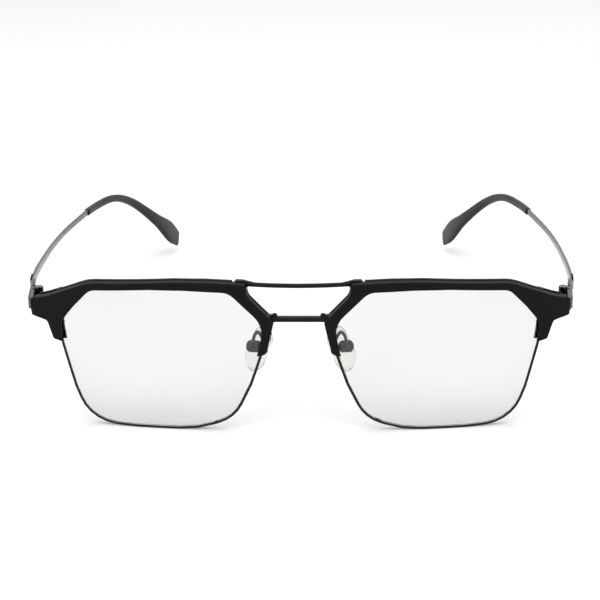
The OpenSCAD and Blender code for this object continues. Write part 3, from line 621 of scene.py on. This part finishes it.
class Temple:
    """One temple's centre line, in the hinge's own frame and in millimetres"""

    def __init__(self, side, sizes):
        joint = JOINTS[side + "_temple_fold"]
        self.away = 1 if side == "right" else -1
        up = Vector(joint["axis"]) * self.away
        self.turn = Matrix(((self.away, 0, 0), (0, up.z, -up.y), up)).transposed()
        self.base = Vector(joint["pos_m"])
        self.sizes = sizes
        self.bend_at, self.bend_r = sizes.bend_at / MM, sizes.bend_r / MM
        self.length = self.bend_at + self.bend_r * sizes.bend_angle + sizes.tip_len / MM
        self.mouth = self.length - sizes.sleeve_len / MM

    def spot(self, s):
        """The point at a length from the hinge screw."""
        angle = min(self.sizes.bend_angle, max(0, (s - self.bend_at) / self.bend_r))
        past = max(0, s - self.bend_at - self.bend_r * self.sizes.bend_angle)
        return Vector((
            curve(BOW, s),
            min(s, self.bend_at) + self.bend_r * math.sin(angle) + past * math.cos(angle),
            curve(RISE, s) - self.bend_r * (1 - math.cos(angle)) - past * math.sin(angle)))

    def ring(self, s, thick, up, down):
        """A ring's spot with its side, rise and fall, in metres in the object's own frame."""
        ahead = (self.spot(s + 0.5) - self.spot(s - 0.5)).normalized()
        rise = Vector((1, 0, 0)).cross(ahead).normalized()
        side = ahead.cross(rise)
        return [self.base + self.turn @ self.spot(s) * MM] + [
            self.turn @ v * MM for v in (side * thick / 2, rise * up, rise * down)]

    def bar_ring(self, s, grow=0.0):
        """A ring of the metal bar, grown by a clearance."""
        half = curve(BAR_HEIGHT, s) / 2 + grow
        return self.ring(s, curve(BAR_THICK, s) + 2 * grow, half, half)

    def sleeve_ring(self, u, shrink=0.0):
        """A ring of the sleeve at a share of its length, drawn in by some millimetres."""
        return self.ring(
            self.mouth + (self.length - self.mouth) * u, curve(SLEEVE_THICK, u) - 2 * shrink,
            curve(SLEEVE_UP, u) - shrink, curve(SLEEVE_DOWN, u) - shrink)


def new_tree(name, inputs):
    """A Geometry Nodes tree with named inputs of given types, and the sockets that they come in by."""
    tree = bpy.data.node_groups.new(name, "GeometryNodeTree")
    for label, kind in inputs.items():
        tree.interface.new_socket(label, in_out="INPUT", socket_type="NodeSocket" + kind)
    tree.interface.new_socket("Geometry", in_out="OUTPUT", socket_type="NodeSocketGeometry")
    return tree, add_node(tree, "NodeGroupInput").outputs


def carried(tree, *names):
    """The nodes that read the vectors which a geometry's points carry, by name."""
    kind, data = "GeometryNodeInputNamedAttribute", "FLOAT_VECTOR"
    return {name: add_node(tree, kind, {"Name": name}, data_type=data) for name in names}


def close_tree(tree, shape, material):
    """Ends a tree with Realize Instances and Set Material."""
    real = add_node(tree, "GeometryNodeRealizeInstances", {"Geometry": shape})
    painted = add_node(tree, "GeometryNodeSetMaterial", {"Geometry": real, "Material": material})
    add_node(tree, "NodeGroupOutput", {"Geometry": painted})


def squared(tree, value, power):
    """A value from -1 to 1 raised to a power, with its sign kept."""
    size = add_node(tree, "ShaderNodeMath", {0: value}, operation="ABSOLUTE")
    raised = add_node(tree, "ShaderNodeMath", {0: size, 1: power}, operation="POWER")
    sign = add_node(tree, "ShaderNodeMath", {0: value}, operation="SIGN")
    return add_node(tree, "ShaderNodeMath", {0: raised, 1: sign}, operation="MULTIPLY")


def sweep_tree():
    """Geometry Nodes that sweep a squared oval along a path whose points carry the oval's place, its
    side and its rise above and below."""
    tree, given = new_tree("Squared oval sweep", {
        "Path": "Geometry", "Corners": "Int", "Squareness": "Float", "Finish": "Material"})
    path = add_node(tree, "GeometryNodeMeshToCurve", {"Mesh": given["Path"]})
    circle = add_node(
        tree, "GeometryNodeCurvePrimitiveCircle", {"Radius": 1.0, "Resolution": given["Corners"]})
    around = add_node(tree, "GeometryNodeInputPosition")
    marked = add_node(
        tree, "GeometryNodeStoreNamedAttribute", {"Name": "around", "Geometry": circle, "Value": around},
        data_type="FLOAT_VECTOR", domain="POINT")
    skin = add_node(
        tree, "GeometryNodeCurveToMesh", {"Fill Caps": True, "Curve": path, "Profile Curve": marked})
    read = carried(tree, "around", "spot", "side", "rise", "fall")
    parts = add_node(tree, "ShaderNodeSeparateXYZ", {"Vector": read["around"]})
    power = add_node(tree, "ShaderNodeMath", {0: 2.0, 1: given["Squareness"]}, operation="DIVIDE")
    across, along = (squared(tree, parts.outputs[axis], power) for axis in "XY")
    above = add_node(tree, "ShaderNodeMath", {0: along, 1: 0.0}, operation="GREATER_THAN")
    height = add_node(
        tree, "ShaderNodeMix", {"Factor": above, "A": read["fall"], "B": read["rise"]}, data_type="VECTOR")
    placed = read["spot"]
    for vector, factor in ((read["side"], across), (height, along)):
        grown = add_node(tree, "ShaderNodeVectorMath", {0: vector, "Scale": factor}, operation="SCALE")
        placed = add_node(tree, "ShaderNodeVectorMath", {0: placed, 1: grown}, operation="ADD")
    moved = add_node(tree, "GeometryNodeSetPosition", {"Geometry": skin, "Position": placed})
    close_tree(tree, moved, given["Finish"])
    return tree


def grown_by(tree, name, mesh, values):
    """The plain mesh that a tree makes of a mesh with named inputs."""
    piece = link(name, mesh)
    nodes = piece.modifiers.new(name, "NODES")
    nodes.node_group = tree
    sockets = {s.name: s.identifier for s in tree.interface.items_tree if s.in_out == "INPUT"}
    for label, value in values.items():
        nodes[sockets[label]] = value
    applied(piece)
    work = bmesh.new()
    work.from_mesh(piece.data)
    bmesh.ops.remove_doubles(work, verts=work.verts, dist=WELD)
    bmesh.ops.recalc_face_normals(work, faces=work.faces)
    piece.data = plain_mesh(name, work)
    return piece


def carrying(name, places, **vectors):
    """A path mesh through places, whose points carry vectors by name."""
    mesh = bpy.data.meshes.new(name)
    mesh.from_pydata(places, [(k, k + 1) for k in range(len(places) - 1)], [])
    for label, values in vectors.items():
        held = mesh.attributes.new(label, "FLOAT_VECTOR", "POINT")
        held.data.foreach_set("vector", [c for value in values for c in value])
    return mesh


def swept(name, rings, kind, corners, squareness):
    """A piece swept through rings, each a spot with its side, rise and fall."""
    spots, sides, rises, falls = zip(*rings)
    ways = [Vector((0, 0, k * MM)) for k in range(len(rings))]
    mesh = carrying(name, ways, spot=spots, side=sides, rise=rises, fall=falls)
    return grown_by(tree_for("sweep"), name, mesh, {
        "Corners": corners, "Squareness": squareness, "Finish": finish(kind)})


class EYEGLASS_OT_temple_bars(bpy.types.Operator):
    """Sweep the metal bars of the temples along their path"""
    bl_idname = "eyeglass.temple_bars"
    bl_label = "Temple bars"

    def execute(self, context):
        sizes = context.scene.eyeglass_temples
        for side in SIDES:
            temple = Temple(side, sizes)
            first, last = sizes.start / MM, temple.mouth + sizes.core_in / MM
            rings = [temple.bar_ring(first + behind, grow) for behind, grow in BAR_END]
            rings += [
                temple.bar_ring(first + BAR_FULL + (last - first - BAR_FULL) * k / BAR_STEPS)
                for k in range(BAR_STEPS + 1)]
            piece = swept(side + "_temple_wire", rings, "temple_bar", sizes.bar_corners, BAR_SQUARE)
            put(piece, "temple_bar", side + "_temple_bar")
        return {"FINISHED"}


class EYEGLASS_OT_sleeves(bpy.types.Operator):
    """Sweep the plastic sleeves of the temples, from their bore round their mouth to the tip"""
    bl_idname = "eyeglass.sleeves"
    bl_label = "Temple sleeves"

    def execute(self, context):
        sizes = context.scene.eyeglass_temples
        edge, gap = sizes.mouth_edge / MM, sizes.sleeve_gap / MM
        for side in SIDES:
            temple = Temple(side, sizes)
            span = temple.length - temple.mouth
            depth = sizes.core_in / MM + gap
            rings = [
                temple.bar_ring(temple.mouth + depth * (1 - k / BORE_STEPS), gap)
                for k in range(BORE_STEPS + 1)]
            for turn in MOUTH_RINGS:
                angle = math.radians(turn)
                rings.append(temple.sleeve_ring(
                    edge * (1 - math.sin(angle)) / span, edge * (1 - math.cos(angle))))
            first, last = edge / span, 1 - edge * 2 / span
            rings += [
                temple.sleeve_ring(first + (last - first) * k / SLEEVE_STEPS)
                for k in range(SLEEVE_STEPS + 1)]
            for turn in TIP_RINGS:
                angle = math.radians(turn)
                rings.append(temple.sleeve_ring(
                    last + edge * 2 * math.sin(angle) / span, edge * 2 * (1 - math.cos(angle))))
            piece = swept(side + "_temple_tip", rings, "tip_sleeve", sizes.sleeve_corners, SLEEVE_SQUARE)
            put(piece, "tip_sleeve", side + "_tip_sleeve")
        return {"FINISHED"}


# The pad arm's route on the right-hand side, in mm from the pad screw
ARM_ROUTE = (
    (-3.85, -6.95, 1.3), (-3.85, -5.45, 1.6), (-3.35, -4.75, 2.9), (-2.6, -3.6, 4.3),
    (-1.6, -2.9, 5.3), (-0.7, -2.1, 4.1), (-0.25, -1.3, 2.3), (-0.1, -0.6, 1.0))
ARM_LAST = len(ARM_ROUTE) - 1
ARM_FILLED = 0.9999     # the share of its route that the wire fills
ARM_NEAR = 0.02         # how far to either side of a spot its direction is taken, in points of the route
ARM_SHORT = 0.001       # how far before the route's end that stops, in points of the route
ARM_STEPS = 48
ARM_CORNERS = 16        # points around the wire
# The rounding of the pad box's rims and how far its middle lies behind the pad screw, in mm
BOX_EDGE, BOX_BEHIND = 0.2, 0.2
# The block that cuts the slot into the pad box: its depth, its height and how far it lies ahead, in mm
CUT_DEEP, CUT_TALL, CUT_AHEAD = 4, 6, 1.25
# The pad's corners: the side and the end that each is on, its radius as a share of the width, and how
# far it is drawn in, in mm
PAD_CORNERS = ((-1, -1, 0.42, 0), (-1, 1, 0.3, 0.7), (1, 1, 0.4, 0.7), (1, -1, 0.49, 0))
PAD_INNER = [0.12 * k for k in range(1, 7)]     # the pad's inner rings, as shares of its outline
PAD_EDGE = (0, 18, 36, 54, 72, 90)              # the rings round its edge, in degrees of the rounding


def arm_spot(u):
    """A point of a smooth curve through the pad arm's route, with u counting the route's points."""
    i = min(ARM_LAST - 1, int(u))
    a, b, c, d = (Vector(ARM_ROUTE[min(ARM_LAST, max(0, k))]) for k in (i - 1, i, i + 1, i + 2))
    t = u - i
    return b + 0.5 * ((c - a) * t + (2 * a - 5 * b + 4 * c - d) * t * t + (3 * b - a - 3 * c + d) * t ** 3)


class PadFrame:
    """The frame of a nose pad's joint: x along the pad screw, y towards the nose and z up the pad"""

    def __init__(self, side):
        joint = JOINTS[side + "_pad_rock"]
        self.away = 1 if side == "right" else -1
        x = Vector(joint["axis"]).normalized()
        z = Vector((-x.z, 0, x.x)).normalized()
        self.turn = Matrix((x * self.away, z.cross(x), z)).transposed()
        self.base = Vector(joint["pos_m"])

    def at(self, x, y, z):
        """A point given in metres in the pad's own frame, x being outwards on either side."""
        return self.base + self.turn @ Vector((x, y, z))


def box_mesh(place, sizes, turns=40):
    """The round pad box before its slot is cut, as a bmesh."""
    work = bmesh.new()
    bmesh.ops.create_cone(
        work, cap_ends=True, segments=turns, radius1=sizes.box_r, radius2=sizes.box_r, depth=sizes.box_t)
    rims = [e for e in work.edges if e.is_convex and e.calc_face_angle(0) > 1]
    bmesh.ops.bevel(work, geom=rims, offset=BOX_EDGE * MM, segments=3, profile=0.5, affect="EDGES")
    for vert in work.verts:
        x, y, z = vert.co
        vert.co = place.at(x, -z - BOX_BEHIND * MM, y)
    return work


class EYEGLASS_OT_pad_arms(bpy.types.Operator):
    """Make the looped wire arms, their pad boxes and the metal inserts of the pads"""
    bl_idname = "eyeglass.pad_arms"
    bl_label = "Pad arms"

    def execute(self, context):
        sizes = context.scene.eyeglass_pads
        front = context.scene.eyeglass_front
        for side in SIDES:
            place = PadFrame(side)
            rings = [
                self.arm_ring(place, sizes.wire_dia / 2, ARM_LAST * ARM_FILLED * k / ARM_STEPS)
                for k in range(ARM_STEPS + 1)]
            wire = swept(side + "_arm_wire", rings, "pad_arm", ARM_CORNERS, ROUND)
            put(wire, "pad_arm", side + "_pad_arm")
            softened(
                side + "_pad_metal", side + "_pad_insert", "pad_insert", (front.metal_edge,) * 3)
            self.pad_box(side, place, sizes)
        return {"FINISHED"}

    def arm_ring(self, place, half, u):
        """A ring of the wire, half as wide as the wire, at a place along its route."""
        ahead = arm_spot(min(ARM_LAST - ARM_SHORT, u + ARM_NEAR)) - arm_spot(max(0, u - ARM_NEAR))
        ahead.normalize()
        across = Vector((1, -1, 0)).cross(ahead).normalized()
        spot, side_way, rise = (
            Vector((v.x * place.away, v.y, v.z)) for v in (arm_spot(u) * MM, ahead.cross(across), across))
        return place.base + spot, side_way * half, rise * half, rise * half

    def pad_box(self, side, place, sizes):
        """The round pad box, cut open for the pad's tongue."""
        name = side + "_pad_box"
        box = box_mesh(place, sizes)
        bmesh.ops.recalc_face_normals(box, faces=box.faces)
        piece = link(name, plain_mesh(name, box))
        knife = bmesh.new()
        bmesh.ops.create_cube(knife, size=1)
        for vert in knife.verts:
            vert.co = place.at(
                vert.co.x * sizes.slot_w, vert.co.y * CUT_DEEP * MM + CUT_AHEAD * MM,
                vert.co.z * CUT_TALL * MM)
        bmesh.ops.recalc_face_normals(knife, faces=knife.faces)
        cutter = link(name + "_cut", plain_mesh(name + "_cut", knife))
        cut = piece.modifiers.new("Slot", "BOOLEAN")
        cut.operation = "DIFFERENCE"
        cut.solver = "EXACT"
        cut.object = cutter
        applied(piece)
        bpy.data.objects.remove(cutter)
        put(piece, "pad_box", side + "_pad_arm")


def arcs(corners, step=8):
    """An outline through corners of x, z and rounding radius, clockwise, with round corners."""
    points = []
    for i, (x, z, r) in enumerate(corners):
        here = Vector((x, z))
        before = (here - Vector(corners[i - 1][:2])).normalized()
        after = (Vector(corners[(i + 1) % len(corners)][:2]) - here).normalized()
        bend = before.angle(after)
        start = here - before * r * math.tan(bend / 2)
        centre = start + r * Vector((before.y, -before.x))
        first = math.atan2(*(start - centre).yx)
        count = max(1, math.ceil(math.degrees(bend) / step))
        for k in range(count + 1):
            angle = first - bend * k / count
            points.append(centre + r * Vector((math.cos(angle), math.sin(angle))))
    return points


class EYEGLASS_OT_nose_pads(bpy.types.Operator):
    """Mould the soft nose pads: flat at the back, crowned towards the nose and round all about"""
    bl_idname = "eyeglass.nose_pads"
    bl_label = "Nose pads"

    def execute(self, context):
        sizes = context.scene.eyeglass_pads
        wide, high = sizes.width / 2, sizes.height / 2
        outline = arcs([
            (side * (wide - drawn * MM), end * high, sizes.width * share)
            for side, end, share, drawn in PAD_CORNERS])
        shares = PAD_INNER + [
            1 - sizes.edge / wide * (1 - math.sin(math.radians(turn))) for turn in PAD_EDGE]
        for side in SIDES:
            place = PadFrame(side)
            work = bmesh.new()
            sheets = [self.sheet(work, place, sizes, outline, shares, face) for face in (0, 1)]
            count = len(outline)
            for k in range(count):
                n = (k + 1) % count
                work.faces.new((sheets[0][-1][k], sheets[0][-1][n], sheets[1][-1][n], sheets[1][-1][k]))
            bmesh.ops.remove_doubles(work, verts=work.verts, dist=4 * WELD)
            bmesh.ops.recalc_face_normals(work, faces=work.faces)
            piece = link(side + "_silicone_pad", plain_mesh(side + "_silicone_pad", work, 80))
            put(piece, "nose_pad", side + "_nose_pad")
        return {"FINISHED"}

    def sheet(self, work, place, sizes, outline, shares, face):
        """The rings of the back, face 0, or of the crowned front, face 1."""
        half = sizes.width / 2
        rings = []
        middle = work.verts.new(place.at(0, sizes.back + face * sizes.thickness, -sizes.drop))
        for share in shares:
            inset = max(0, (share - 1) * half / sizes.edge + 1)
            round_off = sizes.edge * (1 - math.sqrt(max(0, 1 - min(1, inset) ** 2)))
            ring = []
            for point in outline:
                spot = point * share
                y = round_off
                if face:
                    crown = sizes.crown_r - math.sqrt(sizes.crown_r ** 2 - spot.length_squared)
                    y = max(sizes.edge, sizes.thickness - crown - round_off)
                ring.append(work.verts.new(place.at(spot.x, sizes.back + y, spot.y - sizes.drop)))
            rings.append(ring)
        count = len(outline)
        for k in range(count):
            work.faces.new((middle, rings[0][k], rings[0][(k + 1) % count]))
            for low, top in zip(rings, rings[1:]):
                work.faces.new((low[k], low[(k + 1) % count], top[(k + 1) % count], top[k]))
        return rings


# Each screw's head thickness and shaft radius, in mm
SCREWS = {
    "rim_screw": (0.4, 0.4), "hinge_screw": (0.37, 0.5), "pad_screw": (0.25, 0.33),
    "brow_screws": (0.35, 0.45),
}


def screw_tree():
    """Geometry Nodes that set a slotted, domed screw on each point. A point carries its axis, and the
    sizes of its head and shaft as radius, radius and length."""
    tree, given = new_tree("Slotted screws", {
        "Points": "Geometry", "Slot width": "Float", "Slot depth": "Float", "Dome": "Float",
        "Finish": "Material"})
    # The head is made 1 in radius and height, and is sized on its point
    drum = add_node(
        tree, "GeometryNodeMeshCylinder",
        {"Vertices": 36, "Side Segments": 1, "Fill Segments": 6, "Radius": 1.0, "Depth": 1.0},
        fill_type="NGON")
    spot = add_node(tree, "GeometryNodeInputPosition")
    parts = add_node(tree, "ShaderNodeSeparateXYZ", {"Vector": spot}).outputs
    flat = add_node(tree, "ShaderNodeCombineXYZ", {"X": parts["X"], "Y": parts["Y"]})
    radius = add_node(tree, "ShaderNodeVectorMath", {0: flat}, operation="LENGTH")
    # Its top falls away as the cube of the radius
    steep = add_node(tree, "ShaderNodeMath", {0: radius, 1: 3.0}, operation="POWER")
    top = add_node(tree, "ShaderNodeMath", {0: parts["Z"], 1: 0.4}, operation="GREATER_THAN")
    fall = add_node(tree, "ShaderNodeMath", {0: steep, 1: given["Dome"]}, operation="MULTIPLY")
    only = add_node(tree, "ShaderNodeMath", {0: fall, 1: top}, operation="MULTIPLY")
    raised = add_node(tree, "ShaderNodeMath", {0: 0.5, 1: only}, operation="SUBTRACT")
    shift = add_node(tree, "ShaderNodeCombineXYZ", {"Z": raised})
    head = add_node(tree, "GeometryNodeSetPosition", {"Geometry": drum, "Offset": shift})
    # The slot's block runs out past the head on both sides and above it
    deep = add_node(tree, "ShaderNodeMath", {0: given["Slot depth"], 1: 2.0}, operation="MULTIPLY")
    size = add_node(tree, "ShaderNodeCombineXYZ", {"X": 2.4, "Y": given["Slot width"], "Z": deep})
    bar = add_node(tree, "GeometryNodeMeshCube", {"Size": size})
    lifted = add_node(tree, "GeometryNodeTransform", {"Translation": (0, 0, 1.0), "Geometry": bar})
    slotted = add_node(tree, "GeometryNodeMeshBoolean", {0: head, 1: lifted}, operation="DIFFERENCE")
    rod = add_node(
        tree, "GeometryNodeMeshCylinder", {"Vertices": 24, "Radius": 1.0, "Depth": 1.0}, fill_type="NGON")
    hung = add_node(tree, "GeometryNodeTransform", {"Translation": (0, 0, -0.5), "Geometry": rod})
    read = carried(tree, "axis", "head", "shaft")
    aim = add_node(tree, "FunctionNodeAlignRotationToVector", {"Vector": read["axis"]}, axis="Z")
    joined = add_node(tree, "GeometryNodeJoinGeometry")
    for shape, scale in ((slotted, "head"), (hung, "shaft")):
        set_on = add_node(tree, "GeometryNodeInstanceOnPoints", {
            "Points": given["Points"], "Instance": shape, "Rotation": aim, "Scale": read[scale]})
        tree.links.new(set_on.outputs["Instances"], joined.inputs["Geometry"])
    close_tree(tree, joined, given["Finish"])
    return tree


TREES = {"sweep": sweep_tree, "screws": screw_tree}
made_trees = {}


def tree_for(kind):
    """The Geometry Nodes tree of a kind, built once."""
    if kind not in made_trees:
        made_trees[kind] = TREES[kind]()
    return made_trees[kind]


class EYEGLASS_OT_screws(bpy.types.Operator):
    """Set the slotted screws, each on its CAD screw's axis"""
    bl_idname = "eyeglass.screws"
    bl_label = "Screws"

    def execute(self, context):
        sizes = context.scene.eyeglass_screws
        for side in SIDES:
            away = 1 if side == "right" else -1
            axes = {
                "rim_screw": Vector((0, 0, 1)), "brow_screws": Vector((0, 1, 0)),
                "hinge_screw": Vector(JOINTS[side + "_temple_fold"]["axis"]) * away,
                "pad_screw": Vector(JOINTS[side + "_pad_rock"]["axis"])}
            rows = []
            for node, (head_t, shaft_r) in SCREWS.items():
                spots = [v.co for v in NODES[side + "_" + node].data.vertices]
                for group in self.halves(spots) if node == "brow_screws" else [spots]:
                    rows.append(self.row(group, axes[node], head_t, shaft_r))
            places, ways, heads, shafts = zip(*rows)
            mesh = carrying(side + "_screws", places, axis=ways, head=heads, shaft=shafts)
            piece = grown_by(tree_for("screws"), side + "_slotted_screws", mesh, {
                "Slot width": sizes.slot_w, "Slot depth": sizes.slot_d, "Dome": sizes.dome,
                "Finish": finish("screw")})
            put(piece, "screw", *[side + "_" + node for node in SCREWS])
        return {"FINISHED"}

    def halves(self, spots):
        """The vertices of each of the two screws that share a node."""
        middle = sum(reach(spots, Vector((1, 0, 0)))) / 2
        return [[p for p in spots if (p.x - middle) * part > 0] for part in (1, -1)]

    def row(self, points, axis, head_t, shaft_r):
        """One screw's seat, axis, head and shaft, from the vertices of its CAD screw."""
        low, high = reach(points, axis)
        middle = sum((Vector(p) for p in points), Vector()) / len(points)
        wide = max((p - middle - axis * (p - middle).dot(axis)).length for p in points)
        seat = middle + axis * (high - head_t * MM - middle.dot(axis))
        return (
            seat, axis, Vector((wide, wide, head_t * MM)),
            Vector((shaft_r * MM, shaft_r * MM, high - low - head_t * MM)))


def look(azimuth, elevation, roll):
    """A camera's rotation, for a camera that looks down from in front."""
    ahead = Vector((
        -math.sin(azimuth) * math.cos(elevation), math.cos(azimuth) * math.cos(elevation),
        -math.sin(elevation)))
    flat = Vector((math.cos(azimuth), math.sin(azimuth), 0))
    upright = flat.cross(ahead)
    right = flat * math.cos(roll) + upright * math.sin(roll)
    up = upright * math.cos(roll) - flat * math.sin(roll)
    return Matrix((right, up, -ahead)).transposed(), ahead


# Each lamp's name, place and width, in metres, and its power in watts
LAMPS = (
    ("Top softbox", (0.0, -0.1, 0.75), 0.9, 4.4), ("Left softbox", (-0.7, -0.5, 0.35), 0.5, 1.5),
    ("Right softbox", (0.7, -0.5, 0.35), 0.5, 1.5))
FLOOR_HALF = 2.0        # metres from the floor's middle to its edge
CLIP_START = 0.01       # metres from the camera at which it starts to see


class EYEGLASS_OT_stage(bpy.types.Operator):
    """Set up the floor, the light and the camera"""
    bl_idname = "eyeglass.stage"
    bl_label = "Stage"

    def execute(self, context):
        stage = context.scene.eyeglass_stage
        self.camera(context, stage)
        self.floor(stage)
        self.world(context, stage)
        for name, place, width, power in LAMPS:
            lamp = bpy.data.lights.new(name, "AREA")
            lamp.size = width
            lamp.energy = power
            made = bpy.data.objects.new(name, lamp)
            made.location = place
            made.rotation_euler = (stage.target - Vector(place)).to_track_quat("-Z", "Y").to_euler()
            context.scene.collection.objects.link(made)
        context.scene.view_settings.view_transform = "Standard"
        return {"FINISHED"}

    def camera(self, context, stage):
        """The camera, set from the values fitted to the photograph."""
        lens = bpy.data.cameras.new("Camera")
        lens.sensor_width = SENSOR / MM
        lens.lens = stage.focal / IMAGE_SIDE * SENSOR / MM
        lens.shift_x = (IMAGE_SIDE / 2 - stage.centre_x) / IMAGE_SIDE
        lens.shift_y = (stage.centre_y - IMAGE_SIDE / 2) / IMAGE_SIDE
        lens.clip_start = CLIP_START
        turn, ahead = look(stage.azimuth, stage.elevation, stage.roll)
        made = bpy.data.objects.new("Camera", lens)
        made.location = Vector(stage.target) - ahead * stage.distance
        made.rotation_euler = turn.to_euler()
        context.scene.collection.objects.link(made)
        context.scene.camera = made

    def floor(self, stage):
        """The pale floor, which keeps the object's shadow."""
        half = FLOOR_HALF
        mesh = bpy.data.meshes.new("Floor")
        mesh.from_pydata(
            [(-half, -half, 0), (half, -half, 0), (half, half, 0), (-half, half, 0)], [], [(0, 1, 2, 3)])
        made = link("Floor", mesh)
        paper = bpy.data.materials.new("White paper sweep")
        tree = emptied(paper)
        lit = add_node(tree, "ShaderNodeBsdfDiffuse", {"Color": list(stage.floor)})
        dark, glow = (
            add_node(tree, "ShaderNodeEmission", {"Strength": power}) for power in (0.0, stage.glow))
        choice = add_node(tree, "ShaderNodeMixShader", {"Fac": seen_ray(tree), 1: dark, 2: glow})
        both = add_node(tree, "ShaderNodeAddShader", {0: lit, 1: choice})
        add_node(tree, "ShaderNodeOutputMaterial", {"Surface": both})
        mesh.materials.append(paper)

    def world(self, context, stage):
        """Light from all round, and pure white wherever the background is seen."""
        world = bpy.data.worlds.new("Studio")
        tree = emptied(world)
        light, white = (
            add_node(tree, "ShaderNodeBackground", {"Strength": power, "Color": (1, 1, 1, 1)})
            for power in (stage.sky, 1.0))
        choice = add_node(tree, "ShaderNodeMixShader", {"Fac": seen_ray(tree), 1: light, 2: white})
        add_node(tree, "ShaderNodeOutputWorld", {"Surface": choice})
        context.scene.world = world


def seen_ray(tree):
    """1 for rays that show the background: straight from the camera, or by way of metal or glass."""
    path = add_node(tree, "ShaderNodeLightPath").outputs
    seen = path["Is Camera Ray"]
    for name in ("Is Glossy Ray", "Is Transmission Ray"):
        seen = add_node(tree, "ShaderNodeMath", {0: seen, 1: path[name]}, operation="MAXIMUM")
    return seen


OPERATORS = (
    EYEGLASS_OT_brows, EYEGLASS_OT_rims, EYEGLASS_OT_lenses, EYEGLASS_OT_bridges, EYEGLASS_OT_hinges,
    EYEGLASS_OT_temple_bars, EYEGLASS_OT_sleeves, EYEGLASS_OT_pad_arms, EYEGLASS_OT_nose_pads,
    EYEGLASS_OT_screws, EYEGLASS_OT_stage)


class EYEGLASS_PT_panel(bpy.types.Panel):
    """Lists the steps that finish the eyeglass frame"""
    bl_label = "Eyeglass frame"
    bl_space_type = "VIEW_3D"
    bl_region_type = "UI"
    bl_category = "Eyeglasses"

    def draw(self, context):
        for made in OPERATORS:
            self.layout.operator(made.bl_idname)


def register():
    for made in (*GROUPS.values(), *OPERATORS, EYEGLASS_PT_panel):
        bpy.utils.register_class(made)
    for name, group in GROUPS.items():
        setattr(bpy.types.Scene, name, PointerProperty(type=group))


def unregister():
    for name in GROUPS:
        delattr(bpy.types.Scene, name)
    for made in (EYEGLASS_PT_panel, *reversed(OPERATORS), *reversed(GROUPS.values())):
        bpy.utils.unregister_class(made)


def main():
    """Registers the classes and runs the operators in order."""
    register()
    for made in OPERATORS:
        group, name = made.bl_idname.split(".")
        getattr(getattr(bpy.ops, group), name)()


if __name__ == "__main__":
    main()
